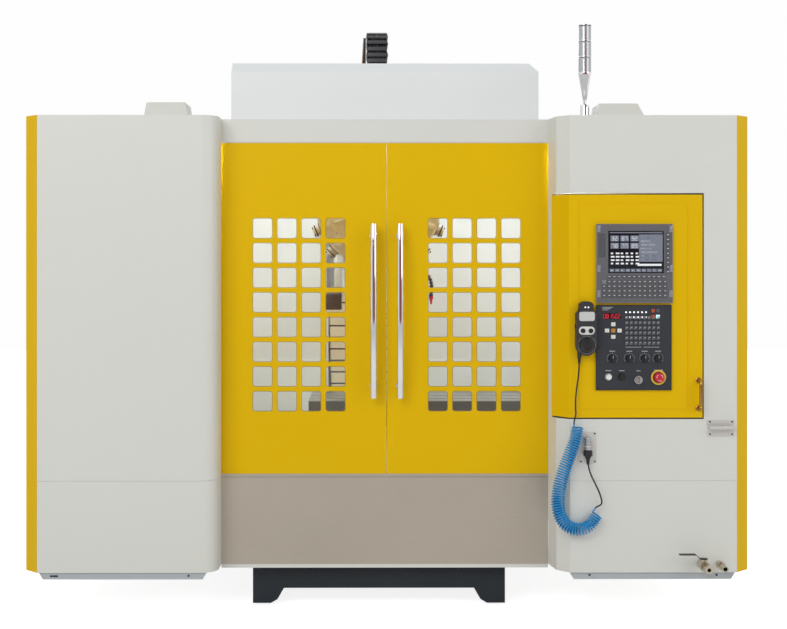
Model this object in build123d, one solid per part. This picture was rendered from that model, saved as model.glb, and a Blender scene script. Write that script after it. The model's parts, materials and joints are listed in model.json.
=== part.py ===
from build123d import *
import math
import os

# Vertical machining center with sliding front doors, in millimetres. +X is to the right
# seen from the operator, +Y goes to the back, +Z is up, and the floor is z = 0.
# A "depth" is measured backwards from the front face of the two wings beside the doors.

# Overall size
wing_face_half = 1340
chamfer_width = 55
machine_width = 2 * (wing_face_half + chamfer_width)
wing_top_z = 1935
wing_bottom_z = 182
deck_front_depth = 1240
bed_rear_depth = deck_front_depth + 500
rear_depth = bed_rear_depth + 440
front_reach = 130
wing_front_y = -(rear_depth - front_reach) / 2
enclosure_rear_depth = deck_front_depth + 20
wall_half_width = wing_face_half - 110
wall_rear_depth = deck_front_depth - 40
sheet = 3
touch = 0.5

# Bed, column and feet
axis_x = -30
bed_left_x = -533
bed_right_x = 473
bed_front_depth = 200
bed_bottom_z = 72
bed_top_z = 400
rail_seat_height = 30
deck_top_z = 520
deck_half_width = 330
foot_outer_width = 72
foot_slope_width = 52
foot_length = 160
foot_pad_radius = 34
foot_pad_height = 12
foot_stud_radius = 12
foot_stud_height = 70
column_front_depth = deck_front_depth + 30
column_base_rear_depth = bed_rear_depth - 20
column_top_rear_depth = column_front_depth + 290
column_half_width = 300
column_top_z = 1950
screw_trough_half = 85
screw_trough_floor_z = 360
screw_trough_rear_depth = deck_front_depth + 380
column_trough_half = 72
column_trough_depth = 62

# Linear guides and ball screws
rail_width = 34
rail_height = 32
block_gap = 16
block_width = 70
block_length = 110
block_skirt = 25
running_gap = 0.5
y_rail_offset = 240
x_rail_offset = 150
z_rail_offset = 165
screw_radius = 16
journal_radius = 12
journal_gap = 0.08
nut_gap = 0.6
motor_width = 130
motor_length = 170
x_motor_width = 108
x_motor_length = 150
bearing_length = 40

# Saddle, table, head and spindle
spindle_depth = 708
saddle_length = 2 * (wall_half_width - 280)
saddle_depth = 460
saddle_thickness = 152
saddle_trough_half = 70
saddle_trough_depth = 88
table_length = 1200
table_width = 425
table_thickness = 108
table_rest_x = 305
table_block_offset = 200
x_cover_half_depth = 205
t_slot_pitch = 125
t_slot_width = 14
t_slot_depth = 26
t_slot_foot_width = 24
t_slot_foot_height = 11
head_half_width = 150
head_front_depth = 630
head_bottom_z = 1300
head_top_z = 1700
nose_radius = 75
nose_bottom_z = 1200
spindle_radius = 45
spindle_nose_z = 1180
spindle_bore_radius = 22
spindle_bore_depth = 60
spindle_gap = 0.5
carriage_half_width = 200
carriage_thickness = 52
carriage_bottom_z = 1240
spindle_motor_width = 180
spindle_motor_height = 300

# Tool magazine
magazine_radius = 262
magazine_thickness = 70
magazine_front_depth = 410
magazine_hub_z = 1610
magazine_hub_radius = 55
magazine_shaft_radius = 20
magazine_hub_rise = 19
magazine_arm_inner = 208
magazine_arm_thickness = 28
magazine_arm_height = 80
magazine_plate_thickness = 20
holder_count = 16
holder_radius = 23
holder_length = 62

# Wings and skirts
left_wing_inner_x = -652
right_wing_inner_x = 637
wing_face_right_x = 700
facet_x = 654
facet_depth = 42
wing_corner_radius = 62
wing_depth = 142
chamfer_depth = 48
seam_z = 533
seam_gap = 0.8
kick_height = 27
kick_inset = 8
kick_end_inset = 16

# Doors, header and apron
door_depth = 145
door_thickness = 30
door_width = 660
door_gap = 2
door_bottom_z = 537
door_top_z = 1842
door_clearance = 0.5
window_columns = 4
window_rows = 8
window_width = 80
window_height = 82
window_pitch_x = 96
window_pitch_z = 97.5
window_radius = 12
window_inner_margin = 162
window_bottom_z = 782
glass_thickness = 8
glass_margin = 20
handle_offset = 52
handle_bottom_z = 841
handle_top_z = 1520
handle_radius = 13.5
handle_post_radius = 9
handle_standoff = 46
handle_bow = 24
handle_post_inset = 45
header_bottom_z = 1846
apron_bottom_z = 181
apron_top_z = 536
strip_height = 14
track_height = 36
track_half_length = wall_half_width - 5

# Work chamber
wall_bottom_z = 540
inner_front_depth = 178
rear_opening_half = magazine_arm_inner + magazine_arm_thickness + 4
chute_low_z = 300
chute_sheet = 4
lamp_length = 400
lamp_height = 40
lamp_depth = 40
lamp_z = 1850
lamp_inner_x = 700
frame_beam = 50
frame_bottom_z = 182

# Hood, roof and cable chain
hood_half_width = 663
hood_front_depth = 600
hood_rear_depth = enclosure_rear_depth + 340
hood_top_z = 2240
hood_fold_height = 46
hood_fold_depth = 60
hood_side_chamfer = 34
roof_opening_half = 640
roof_opening_front = 615
rear_panel_inner_x = 312
chain_width = 103
chain_front_depth = column_front_depth - 165
chain_pitch = 150
chain_thickness = 40
chain_foot_z = 1900
chain_bend_z = 2380
chain_bracket_width = 26
chain_slot_margin = 20

# Console door with its units
console_left_x = 640
console_left_depth = 70
console_fold_x = 696
console_right_x = wing_face_half - 133
console_bottom_z = 776
console_top_z = 1630
console_proud = 4
console_flange = 24
console_gap = 6
emboss_left_x = 732
emboss_right_x = console_right_x - 53
emboss_bottom_z = 808
emboss_top_z = 1601
emboss_width = 4
emboss_height = 1.5
display_left_x = 799.5
display_width = 290
display_bottom_z = 1216
display_height = 301
display_bezel = 12
display_body_inset = 10
display_body_depth = 58
screen_left_x = 843.5
screen_width = 213
screen_bottom_z = 1329
screen_height = 162
screen_recess = 2
panel_bottom_z = 882
panel_height = 326
panel_thickness = 8
panel_body_depth = 45
key_height = 2.5
key_grid_x = 915
key_grid_z = 1062
key_grid_pitch_x = 17.2
key_grid_pitch_z = 19.5
key_size = 12
jog_x = 863
jog_z = 1110
jog_pitch = 24
light_row_x = 912
light_row_pitch = 15.3
light_rows_z = (1161, 1180)
light_size = 5
spare_key_columns_x = (1016, 1034)
spare_key_rows_z = (1163, 1186)
spare_key_size = 13
digits_x = (824, 893)
digits_z = (1153, 1176)
knob_z = 1003.5
knob_positions_x = (859.6, 924.7, 983.7, 1034.6)
knob_radius = 14
knob_height = 18
knob_stem_radius = 4
knob_seat_gap = 0.4
button_radius = 10
button_height = 8
button_travel = 3
start_button_x = 844.6
hold_button_x = 896
button_z = 933
bezel_radius = 14
bezel_height = 3
key_switch_x = 959.6
key_switch_z = 921
key_switch_radius = 12
estop_x = 1036
estop_z = 931
estop_radius = 20
estop_ring_radius = 28
estop_height = 26
estop_travel = 5
pull_handle_x = console_right_x - 15
pull_handle_bottom_z = 812
pull_handle_top_z = 919
pull_handle_radius = 6
pull_handle_standoff = 34

# Hand pendant, its cord and socket
pendant_x = 756
pendant_wheel_z = 1057
pendant_wheel_radius = 40
pendant_waist = 66
pendant_shoulder_z = 1184
pendant_head_width = 46
pendant_top_z = 1222
pendant_thickness = 42
wheel_radius = 29
wheel_height = 12
wheel_stem_radius = 6
crank_radius = 5.5
crank_height = 14
selector_positions_x = (741, 771)
selector_z = 1111
selector_radius = 9
selector_height = 12
cord_radius = 3.5
coil_radius = 27
cord_depth = -26
gland_x = 731
gland_radius = 8
gland_length = 14
plug_x = 765
plug_bottom_z = 624
plug_height = 31
plug_radius = 17
plug_depth = -22
socket_radius = 11.5
socket_height = 48
socket_plate_left_x = 734
socket_plate_width = 67
socket_plate_bottom_z = 601
socket_plate_height = 121

# Shelf, valve and fittings on the right wing
shelf_left_x = wing_face_half - 113
shelf_width = 103
shelf_bottom_z = 735
shelf_height = 31
shelf_reach = 34
valve_x = wing_face_half - 142
valve_z = 222
valve_pipe_radius = 11
valve_body_radius = 19
valve_nut_length = 22
valve_stem_radius = 7
lever_length = 62
lever_width = 18
lever_thickness = 4
lever_rise = 26
fitting_x = wing_face_half - 70
fitting_z = 216
fitting_radius = 12
fitting_reach = 90

# Things on the roof and behind the machine
tower_x = 815
tower_depth = 330
tower_top_z = 2344
tower_light_radius = 27
tower_light_height = 197
tower_taper_height = 110
tower_neck_radius = 7
tower_foot_radius = 18
tower_foot_height = 85
tower_base_radius = 34
tower_base_height = 22
box_depth = 300
box_length = 160
left_box_x = -991
left_box_width = 188
left_box_height = 88
right_box_x = 854
right_box_width = 217
right_box_height = 84
box_slope = 46
cabinet_half_width = 430
cabinet_front_depth = bed_rear_depth + 50
cabinet_rear_depth = cabinet_front_depth + 320
cabinet_bottom_z = 480
cabinet_top_z = 1890
cabinet_sheet = 4
cabinet_door_thickness = 24
cabinet_door_gap = 0.4
large_drive_width = 110
large_drive_pitch = 140
large_drive_depth = 190
large_drive_z = (1250, 1640)
small_drive_width = 180
small_drive_pitch = 240
small_drive_depth = 110
small_drive_z = (760, 1000)
switch_z = 1300
switch_inset = 90
switch_radius = 36
switch_height = 36
tank_half_width = 640
tank_rear_depth = cabinet_rear_depth + 20
tank_bottom_z = 40
tank_top_z = 330
tank_wall = 4
pump_radius = 62
pump_height = 130

# Levels that follow from the stack of bed, guides, saddle and table
bed_rail_seat_z = bed_top_z + rail_seat_height
bed_rail_top_z = bed_rail_seat_z + rail_height
saddle_bottom_z = bed_rail_top_z + block_gap
saddle_top_z = saddle_bottom_z + saddle_thickness
saddle_rail_top_z = saddle_top_z + rail_height
table_bottom_z = saddle_rail_top_z + block_gap
table_top_z = table_bottom_z + table_thickness
z_rail_front_depth = column_front_depth - rail_height
carriage_rear_depth = z_rail_front_depth - block_gap
carriage_front_depth = carriage_rear_depth - carriage_thickness
y_screw_z = screw_trough_floor_z + 80
x_screw_z = saddle_top_z - 26
z_screw_depth = column_front_depth + 12
saddle_front_depth = spindle_depth - saddle_depth / 2
saddle_rear_depth = spindle_depth + saddle_depth / 2
table_x = axis_x + table_rest_x
chain_rear_depth = chain_front_depth + chain_pitch
tank_front_depth = bed_rear_depth + touch
door_front_x = door_gap / 2
display_top_z = display_bottom_z + display_height
panel_front_depth = -console_proud - panel_thickness


def y_at(depth):
    """Frame Y of a depth behind the wing fronts."""
    return wing_front_y + depth


def block(x_span, depth_span, z_span):
    """Box between two x, two depths and two heights."""
    size = (x_span[1] - x_span[0], depth_span[1] - depth_span[0], z_span[1] - z_span[0])
    corner = Pos(x_span[0], y_at(depth_span[0]), z_span[0])
    return corner * Box(*size, align=(Align.MIN, Align.MIN, Align.MIN))


def mirrored_block(x_span, depth_span, z_span, center=0):
    """The same box on both sides of a vertical center plane, right one first."""
    right = block((center + x_span[0], center + x_span[1]), depth_span, z_span)
    left = block((center - x_span[1], center - x_span[0]), depth_span, z_span)
    return [right, left]


def upright(x, depth, z, radius, height):
    """Vertical cylinder standing on z."""
    cylinder = Cylinder(radius, height, align=(Align.CENTER, Align.CENTER, Align.MIN))
    return Pos(x, y_at(depth), z) * cylinder


def forward(x, depth, z, radius, length):
    """Cylinder that starts at a depth and points to the front."""
    cylinder = Cylinder(radius, length, align=(Align.CENTER, Align.CENTER, Align.MIN))
    return Pos(x, y_at(depth), z) * Rot(90, 0, 0) * cylinder


def sideways(x, depth, z, radius, length):
    """Cylinder that starts at x and points to +X."""
    cylinder = Cylinder(radius, length, align=(Align.CENTER, Align.CENTER, Align.MIN))
    return Pos(x, y_at(depth), z) * Rot(0, 90, 0) * cylinder


def front_view(depth):
    """Plane seen from the front, x to the right and z up, at a depth."""
    return Plane(origin=(0, y_at(depth), 0), x_dir=(1, 0, 0), z_dir=(0, -1, 0))


def side_view(x):
    """Plane seen from the left, depth to the right and z up, at an x."""
    return Plane(origin=(x, wing_front_y, 0), x_dir=(0, 1, 0), z_dir=(1, 0, 0))


def plan_view(z):
    """Plane seen from above, x and depth, at a height."""
    return Plane(origin=(0, wing_front_y, z), x_dir=(1, 0, 0), z_dir=(0, 0, 1))


def prism(plane, points, length):
    """Straight prism on an outline of points."""
    return extrude(plane * make_face(Polyline(*points, close=True)), amount=length)


def grooved_block(center, length_axis, up):
    """Guide block around a rail: center is the middle of its outer face, up points off the rail."""
    body = Box(block_width, block_length, block_gap + block_skirt)
    groove = Box(rail_width + 2 * running_gap, block_length, block_skirt + running_gap)
    lift = (block_gap + block_skirt) / 2
    drop = block_gap + block_skirt - (block_skirt + running_gap) / 2
    shape = Pos(0, 0, -lift) * body - Pos(0, 0, -drop) * groove
    place = Plane(origin=center, x_dir=Vector(*length_axis).cross(Vector(*up)), z_dir=up)
    return place * shape


# Bed, column, feet


def cast_foot(side, front_depth):
    """Cast foot, seen from the front: upright outside, sloping inside."""
    outer_x = bed_right_x if side > 0 else bed_left_x
    heel = outer_x - side * foot_outer_width
    toe = heel - side * foot_slope_width
    knee = heel - side * foot_slope_width / 2
    points = [
        (outer_x, bed_bottom_z + sheet),
        (outer_x, foot_pad_height),
        (heel, foot_pad_height),
        (knee, foot_pad_height + (bed_bottom_z - foot_pad_height) / 4),
        (toe, bed_bottom_z),
        (toe, bed_bottom_z + sheet),
    ]
    return prism(front_view(front_depth + foot_length), points, foot_length)


def foot_centers():
    """Plan positions of the leveling feet."""
    last = bed_rear_depth - foot_length
    middle = (bed_front_depth + last) / 2
    inset = foot_outer_width / 2
    places = []
    for front_depth in (bed_front_depth, middle, last):
        for x in (bed_left_x + inset, bed_right_x - inset):
            places.append((x, front_depth + foot_length / 2))
    return places


def deck_span():
    """Left and right side of the deck under the column."""
    return (axis_x - deck_half_width, axis_x + deck_half_width)


def bed_casting():
    """Cast bed: low front part with guide seats, high deck under the column, six feet."""
    bed = block((bed_left_x, bed_right_x), (bed_front_depth, bed_rear_depth), (bed_bottom_z, bed_top_z))
    seat_half = rail_width / 2 + 28
    for x in (axis_x - y_rail_offset, axis_x + y_rail_offset):
        span = (x - seat_half, x + seat_half)
        bed += block(span, (bed_front_depth, deck_front_depth), (bed_top_z, bed_rail_seat_z))
    bed += block(deck_span(), (deck_front_depth, bed_rear_depth), (bed_top_z, deck_top_z))
    trough_span = (axis_x - screw_trough_half, axis_x + screw_trough_half)
    trough_depths = (bed_front_depth + 30, screw_trough_rear_depth)
    bed -= block(trough_span, trough_depths, (screw_trough_floor_z, deck_top_z))
    last = bed_rear_depth - foot_length
    for front_depth in (bed_front_depth, (bed_front_depth + last) / 2, last):
        bed += cast_foot(1, front_depth)
        bed += cast_foot(-1, front_depth)
    for x, depth in foot_centers():
        bed -= upright(x, depth, 0, foot_stud_radius, foot_pad_height + foot_stud_height + touch)
    return bed


def leveling_feet():
    """Six round pads, each with a stud that screws up into its foot."""
    feet = []
    for x, depth in foot_centers():
        stud = upright(x, depth, foot_pad_height, foot_stud_radius - journal_gap, foot_stud_height)
        feet.append(upright(x, depth, 0, foot_pad_radius, foot_pad_height) + stud)
    return feet


def column_casting():
    """Column with an upright front for the guides, a sloping back and a trough for the screw."""
    points = [
        (column_front_depth, deck_top_z),
        (column_base_rear_depth, deck_top_z),
        (column_top_rear_depth, column_top_z),
        (column_front_depth, column_top_z),
    ]
    column = prism(side_view(axis_x - column_half_width), points, 2 * column_half_width)
    trough_span = (axis_x - column_trough_half, axis_x + column_trough_half)
    trough_depths = (column_front_depth - 1, column_front_depth + column_trough_depth)
    column -= block(trough_span, trough_depths, (deck_top_z + 80, column_top_z + 1))
    return column


def z_rail_span():
    """Lowest and highest point of the column guides."""
    return (deck_top_z + 90, column_top_z - 20)


def linear_rails():
    """Two guides along the bed and two up the column."""
    half = rail_width / 2
    depths = (bed_front_depth + 45, deck_front_depth - touch)
    heights = (bed_rail_seat_z, bed_rail_top_z)
    span = (y_rail_offset - half, y_rail_offset + half)
    rails = mirrored_block(span, depths, heights, axis_x)
    span = (z_rail_offset - half, z_rail_offset + half)
    rails += mirrored_block(span, (z_rail_front_depth, column_front_depth), z_rail_span(), axis_x)
    return rails


def motor_housing(length, width):
    """Square servo motor with chamfered edges and a smaller encoder cap, along +Z."""
    body = Box(width, width, length, align=(Align.CENTER, Align.CENTER, Align.MIN))
    body = chamfer(body.edges().filter_by(Axis.Z), width / 10)
    cap = Box(width * 0.72, width * 0.72, length / 5, align=(Align.CENTER, Align.CENTER, Align.MIN))
    return body + Pos(0, 0, length) * cap


def y_bearing_depths():
    """Front faces of the two bearing blocks of the Y screw."""
    return (bed_front_depth + 45, deck_front_depth + 30)


def bearing_hole(length):
    """Hole for a screw journal, along +Z."""
    radius = journal_radius + journal_gap
    return Cylinder(radius, length, align=(Align.CENTER, Align.CENTER, Align.MIN))


def y_feed_motor():
    """Bearing block and motor at the rear end of the Y screw, inside the bed deck."""
    front = y_bearing_depths()[1]
    half = screw_trough_half - 12
    heights = (screw_trough_floor_z, y_screw_z + motor_width / 2)
    mount = block((axis_x - half, axis_x + half), (front, front + bearing_length), heights)
    along = Pos(axis_x, y_at(front), y_screw_z) * Rot(-90, 0, 0)
    motor = Pos(axis_x, y_at(front + bearing_length), y_screw_z) * Rot(-90, 0, 0)
    return mount + motor * motor_housing(motor_length, motor_width) - along * bearing_hole(bearing_length)


def y_front_bearing():
    """Bearing block at the front end of the Y screw."""
    front = y_bearing_depths()[0]
    heights = (screw_trough_floor_z, y_screw_z + 34)
    shape = block((axis_x - 50, axis_x + 50), (front, front + bearing_length), heights)
    along = Pos(axis_x, y_at(front), y_screw_z) * Rot(-90, 0, 0)
    return shape - along * bearing_hole(bearing_length)


def z_bearing_levels():
    """Lower faces of the two bearing blocks of the Z screw."""
    return (deck_top_z + 90, column_top_z - bearing_length)


def z_bearing(level):
    """Bearing block in the column trough."""
    half = column_trough_half - 12
    depths = (z_screw_depth - 34, column_front_depth + column_trough_depth)
    shape = block((axis_x - half, axis_x + half), depths, (level, level + bearing_length))
    return shape - Pos(axis_x, y_at(z_screw_depth), level) * bearing_hole(bearing_length)


def z_feed_motor():
    """Motor on top of the column, on the upper bearing block of the Z screw."""
    motor = Pos(axis_x, y_at(z_screw_depth), column_top_z) * motor_housing(motor_length, motor_width)
    return z_bearing(z_bearing_levels()[1]) + motor


def feed_motors():
    """The Y and Z feed motors with all the screw bearings that the bed and column carry."""
    return [y_feed_motor(), y_front_bearing(), z_feed_motor(), z_bearing(z_bearing_levels()[0])]


def ball_screw(length, journal_start, journal_end):
    """Screw along +Z with a thinner journal at each end."""
    align = (Align.CENTER, Align.CENTER, Align.MIN)
    shaft = Pos(0, 0, journal_start) * Cylinder(screw_radius, length, align=align)
    full = journal_start + length + journal_end
    return shaft + Cylinder(journal_radius, full, align=align)


def y_ball_screw():
    """Feed screw between the two bearing blocks of the bed."""
    front, rear = y_bearing_depths()
    length = rear - front - bearing_length - 2 * running_gap
    journal = bearing_length + running_gap
    start = Pos(axis_x, y_at(front), y_screw_z) * Rot(-90, 0, 0)
    return start * ball_screw(length, journal, journal - 1)


def z_ball_screw():
    """Feed screw in front of the column."""
    low, high = z_bearing_levels()
    length = high - low - bearing_length - 2 * running_gap
    journal = bearing_length + running_gap
    return Pos(axis_x, y_at(z_screw_depth), low) * ball_screw(length, journal, journal - 1)


# Saddle, table, head


def x_bearing_starts():
    """Left faces of the two bearing blocks of the X screw."""
    half = saddle_length / 2
    return (axis_x - half, axis_x + half - bearing_length)


def saddle_casting():
    """Saddle with four guide blocks below, two guides, end plates, screw bearings and nut."""
    half = saddle_length / 2
    depths = (saddle_front_depth, saddle_rear_depth)
    wide = (axis_x - half, axis_x + half)
    body = block(wide, depths, (saddle_top_z - 84, saddle_top_z))
    foot_half = y_rail_offset + block_width
    body += block((axis_x - foot_half, axis_x + foot_half), depths, (saddle_bottom_z, saddle_top_z))
    trough = (spindle_depth - saddle_trough_half, spindle_depth + saddle_trough_half)
    inner = (axis_x - half + bearing_length, axis_x + half - bearing_length)
    floor_z = saddle_top_z - saddle_trough_depth + 30
    body -= block(inner, trough, (floor_z, saddle_top_z))
    for start in x_bearing_starts():
        body -= Pos(start, y_at(spindle_depth), x_screw_z) * Rot(0, 90, 0) * bearing_hole(bearing_length)
    plate_top = table_bottom_z - 4
    plate_depths = (spindle_depth - x_cover_half_depth, spindle_depth + x_cover_half_depth)
    for edge in (wide[0], wide[1] - 8):
        body += block((edge, edge + 8), plate_depths, (saddle_top_z, plate_top))
    for offset in (-1, 1):
        for depth in (saddle_front_depth + block_length / 2, saddle_rear_depth - block_length / 2):
            center = (axis_x + offset * y_rail_offset, y_at(depth), saddle_bottom_z)
            body += grooved_block(center, (0, 1, 0), (0, 0, 1))
    nut_depths = (spindle_depth - 45, spindle_depth + 45)
    nut_heights = (y_screw_z - 30, saddle_bottom_z)
    body += block((axis_x - 50, axis_x + 50), nut_depths, nut_heights)
    body -= Pos(axis_x, y_at(nut_depths[0]), y_screw_z) * Rot(-90, 0, 0) * nut_hole(90)
    return [body] + saddle_rails()


def nut_hole(length):
    """Hole that the screw turns in, along +Z."""
    return Cylinder(screw_radius + nut_gap, length, align=(Align.CENTER, Align.CENTER, Align.MIN))


def saddle_rails():
    """The two guides on the saddle, between its end plates."""
    half = saddle_length / 2 - 8 - touch
    rails = []
    for depth in (spindle_depth - x_rail_offset, spindle_depth + x_rail_offset):
        depths = (depth - rail_width / 2, depth + rail_width / 2)
        rails.append(block((axis_x - half, axis_x + half), depths, (saddle_top_z, saddle_rail_top_z)))
    return rails


def x_feed_motor():
    """Motor on the left end of the saddle."""
    place = Pos(axis_x - saddle_length / 2, y_at(spindle_depth), x_screw_z) * Rot(0, -90, 0)
    return place * motor_housing(x_motor_length, x_motor_width)


def x_ball_screw():
    """Feed screw in the saddle trough."""
    start, end = x_bearing_starts()
    length = end - start - bearing_length - 2 * running_gap
    journal = bearing_length + running_gap - 1
    place = Pos(start + 1, y_at(spindle_depth), x_screw_z) * Rot(0, 90, 0)
    return place * ball_screw(length, journal, journal)


def t_slot(depth):
    """Slot along the table: a narrow neck over a wider foot."""
    half = table_length / 2
    span = (table_x - half, table_x + half)
    neck = (depth - t_slot_width / 2, depth + t_slot_width / 2)
    foot = (depth - t_slot_foot_width / 2, depth + t_slot_foot_width / 2)
    floor_z = table_top_z - t_slot_depth
    shape = block(span, neck, (floor_z, table_top_z))
    return shape + block(span, foot, (floor_z, floor_z + t_slot_foot_height))


def work_table():
    """Table with three T-slots, four guide blocks and the nut of the X screw."""
    half = table_length / 2
    depths = (spindle_depth - table_width / 2, spindle_depth + table_width / 2)
    table = block((table_x - half, table_x + half), depths, (table_bottom_z, table_top_z))
    for step in (-1, 0, 1):
        table -= t_slot(spindle_depth + step * t_slot_pitch)
    for side in (-1, 1):
        for depth in (spindle_depth - x_rail_offset, spindle_depth + x_rail_offset):
            center = (table_x + side * table_block_offset, y_at(depth), table_bottom_z)
            table += grooved_block(center, (1, 0, 0), (0, 0, 1))
    nut_depths = (spindle_depth - 40, spindle_depth + 40)
    table += block((table_x - 45, table_x + 45), nut_depths, (x_screw_z - 26, table_bottom_z))
    table -= Pos(table_x - 45, y_at(spindle_depth), x_screw_z) * Rot(0, 90, 0) * nut_hole(90)
    return table


def head_casting():
    """Head with its nose, the carriage plate with four blocks, the nut and the spindle motor."""
    points = [
        (carriage_front_depth, carriage_bottom_z + 20),
        (carriage_front_depth, head_top_z),
        (head_front_depth, head_top_z),
        (head_front_depth, head_bottom_z + 90),
        (head_front_depth + 26, head_bottom_z),
        (spindle_depth + nose_radius + 60, head_bottom_z),
    ]
    head = prism(side_view(axis_x - head_half_width), points, 2 * head_half_width)
    head += upright(axis_x, spindle_depth, nose_bottom_z, nose_radius, head_top_z - nose_bottom_z)
    carriage = (axis_x - carriage_half_width, axis_x + carriage_half_width)
    depths = (carriage_front_depth, carriage_rear_depth)
    head += block(carriage, depths, (carriage_bottom_z, head_top_z))
    for offset in (-1, 1):
        for z in (carriage_bottom_z + block_length / 2, head_top_z - block_length / 2):
            center = (axis_x + offset * z_rail_offset, y_at(carriage_rear_depth), z)
            head += grooved_block(center, (0, 0, 1), (0, -1, 0))
    middle_z = (carriage_bottom_z + head_top_z) / 2
    nut_depths = (carriage_rear_depth, z_screw_depth + 30)
    head += block((axis_x - 48, axis_x + 48), nut_depths, (middle_z - 50, middle_z + 50))
    head -= Pos(axis_x, y_at(z_screw_depth), middle_z - 50) * nut_hole(100)
    bore_radius = spindle_radius + spindle_gap
    head -= upright(axis_x, spindle_depth, nose_bottom_z, bore_radius, spindle_shaft_length())
    post = (chain_front_depth + 10, chain_front_depth + chain_thickness - 10)
    head += block((axis_x - 20, axis_x + 20), post, (head_top_z, chain_foot_z - 10))
    plate = (chain_front_depth, chain_front_depth + chain_thickness)
    half = chain_width / 2
    head += block((axis_x - half, axis_x + half), plate, (chain_foot_z - 10, chain_foot_z - touch))
    return [head, spindle_motor()]


def spindle_shaft_length():
    """Length of the spindle inside the head."""
    return (head_top_z - nose_bottom_z) * 0.7


def spindle_motor():
    """Motor on top of the head, in line with the spindle."""
    place = Pos(axis_x, y_at(spindle_depth), head_top_z)
    return place * motor_housing(spindle_motor_height * 5 / 6, spindle_motor_width)


def spindle_shaft():
    """Spindle with a flanged nose and a tapered tool bore."""
    length = nose_bottom_z + spindle_shaft_length() - spindle_nose_z - touch
    shaft = upright(axis_x, spindle_depth, spindle_nose_z, spindle_radius, length)
    place = Pos(axis_x, y_at(spindle_depth), spindle_nose_z)
    top_radius = spindle_bore_radius - spindle_bore_depth * 7 / 48
    align = (Align.CENTER, Align.CENTER, Align.MIN)
    shaft -= place * Cone(spindle_bore_radius, top_radius, spindle_bore_depth, align=align)
    return shaft


def way_cover_shell(x_span, depth_span, z_span, axis):
    """Roof-shaped cover, open below and at both ends along its axis."""
    outer = block(x_span, depth_span, z_span)
    inner_x = x_span if axis == "x" else (x_span[0] + sheet, x_span[1] - sheet)
    inner_depth = depth_span if axis == "y" else (depth_span[0] + sheet, depth_span[1] - sheet)
    return outer - block(inner_x, inner_depth, (z_span[0], z_span[1] - sheet))


def y_way_covers():
    """Covers over the bed guides, in front of the saddle and behind it."""
    half = y_rail_offset + 60
    span = (axis_x - half, axis_x + half)
    heights = (bed_top_z + touch, saddle_bottom_z + 25)
    front = way_cover_shell(span, (bed_front_depth + 5, saddle_front_depth - touch), heights, "y")
    rear = way_cover_shell(span, (saddle_rear_depth + touch, deck_front_depth - touch), heights, "y")
    return [front, rear]


def x_way_covers():
    """Covers over the saddle guides, on each side of the table carriage."""
    depths = (spindle_depth - x_cover_half_depth, spindle_depth + x_cover_half_depth)
    heights = (saddle_top_z + touch, table_bottom_z - 2)
    carriage_half = table_block_offset + block_length / 2 + 6
    left_end = axis_x - saddle_length / 2 + 8 + touch
    right_end = axis_x + saddle_length / 2 - 8 - touch
    left = way_cover_shell((left_end, table_x - carriage_half), depths, heights, "x")
    right = way_cover_shell((table_x + carriage_half, right_end), depths, heights, "x")
    return [left, right]


def z_way_cover():
    """Cover below the head, in front of the column guides."""
    half = 231
    front = carriage_front_depth + 10
    heights = (deck_top_z + touch, carriage_bottom_z - touch)
    outer = block((axis_x - half, axis_x + half), (front, front + 38), heights)
    inner = block((axis_x - half + sheet, axis_x + half - sheet), (front + sheet, front + 38), heights)
    return outer - inner


def z_cable_chain():
    """Cable chain from the head up over a bend and down to the hood top."""
    front_middle = chain_front_depth + chain_thickness / 2
    middle = front_middle + chain_pitch / 2
    outer_radius = (chain_pitch + chain_thickness) / 2
    inner_radius = (chain_pitch - chain_thickness) / 2
    span = (axis_x - chain_width / 2, axis_x + chain_width / 2)
    front_leg = (chain_front_depth, chain_front_depth + chain_thickness)
    rear_leg = (chain_rear_depth, chain_rear_depth + chain_thickness)
    chain = block(span, front_leg, (chain_foot_z, chain_bend_z))
    chain += block(span, rear_leg, (hood_top_z + touch, chain_bend_z))
    ring = sideways(span[0], middle, chain_bend_z, outer_radius, chain_width)
    ring -= sideways(span[0], middle, chain_bend_z, inner_radius, chain_width)
    reach = outer_radius + 1
    lower_half = block(span, (middle - reach, middle + reach), (chain_bend_z - reach, chain_bend_z))
    return chain + (ring - lower_half)


# Tool magazine


def magazine_bracket():
    """Two arms from the column and the front plate that carries the magazine shaft."""
    arm = (magazine_arm_inner, magazine_arm_inner + magazine_arm_thickness)
    plate_rear = magazine_plate_depths()[1]
    half_height = magazine_arm_height / 2
    heights = (magazine_hub_z - half_height, magazine_hub_z + half_height)
    arms = mirrored_block(arm, (plate_rear - 1, column_front_depth), heights, axis_x)
    half = magazine_arm_inner + magazine_arm_thickness
    plate = block((axis_x - half, axis_x + half), magazine_plate_depths(), heights)
    shaft_length = magazine_plate_depths()[0] - magazine_front_depth
    shaft = forward(axis_x, magazine_plate_depths()[0], magazine_hub_z, magazine_shaft_radius, shaft_length)
    return plate + arms[0] + arms[1] + shaft


def magazine_plate_depths():
    """Front and rear face of the plate behind the magazine disc."""
    front = magazine_front_depth + magazine_thickness + 20
    return (front, front + magazine_plate_thickness)


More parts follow.
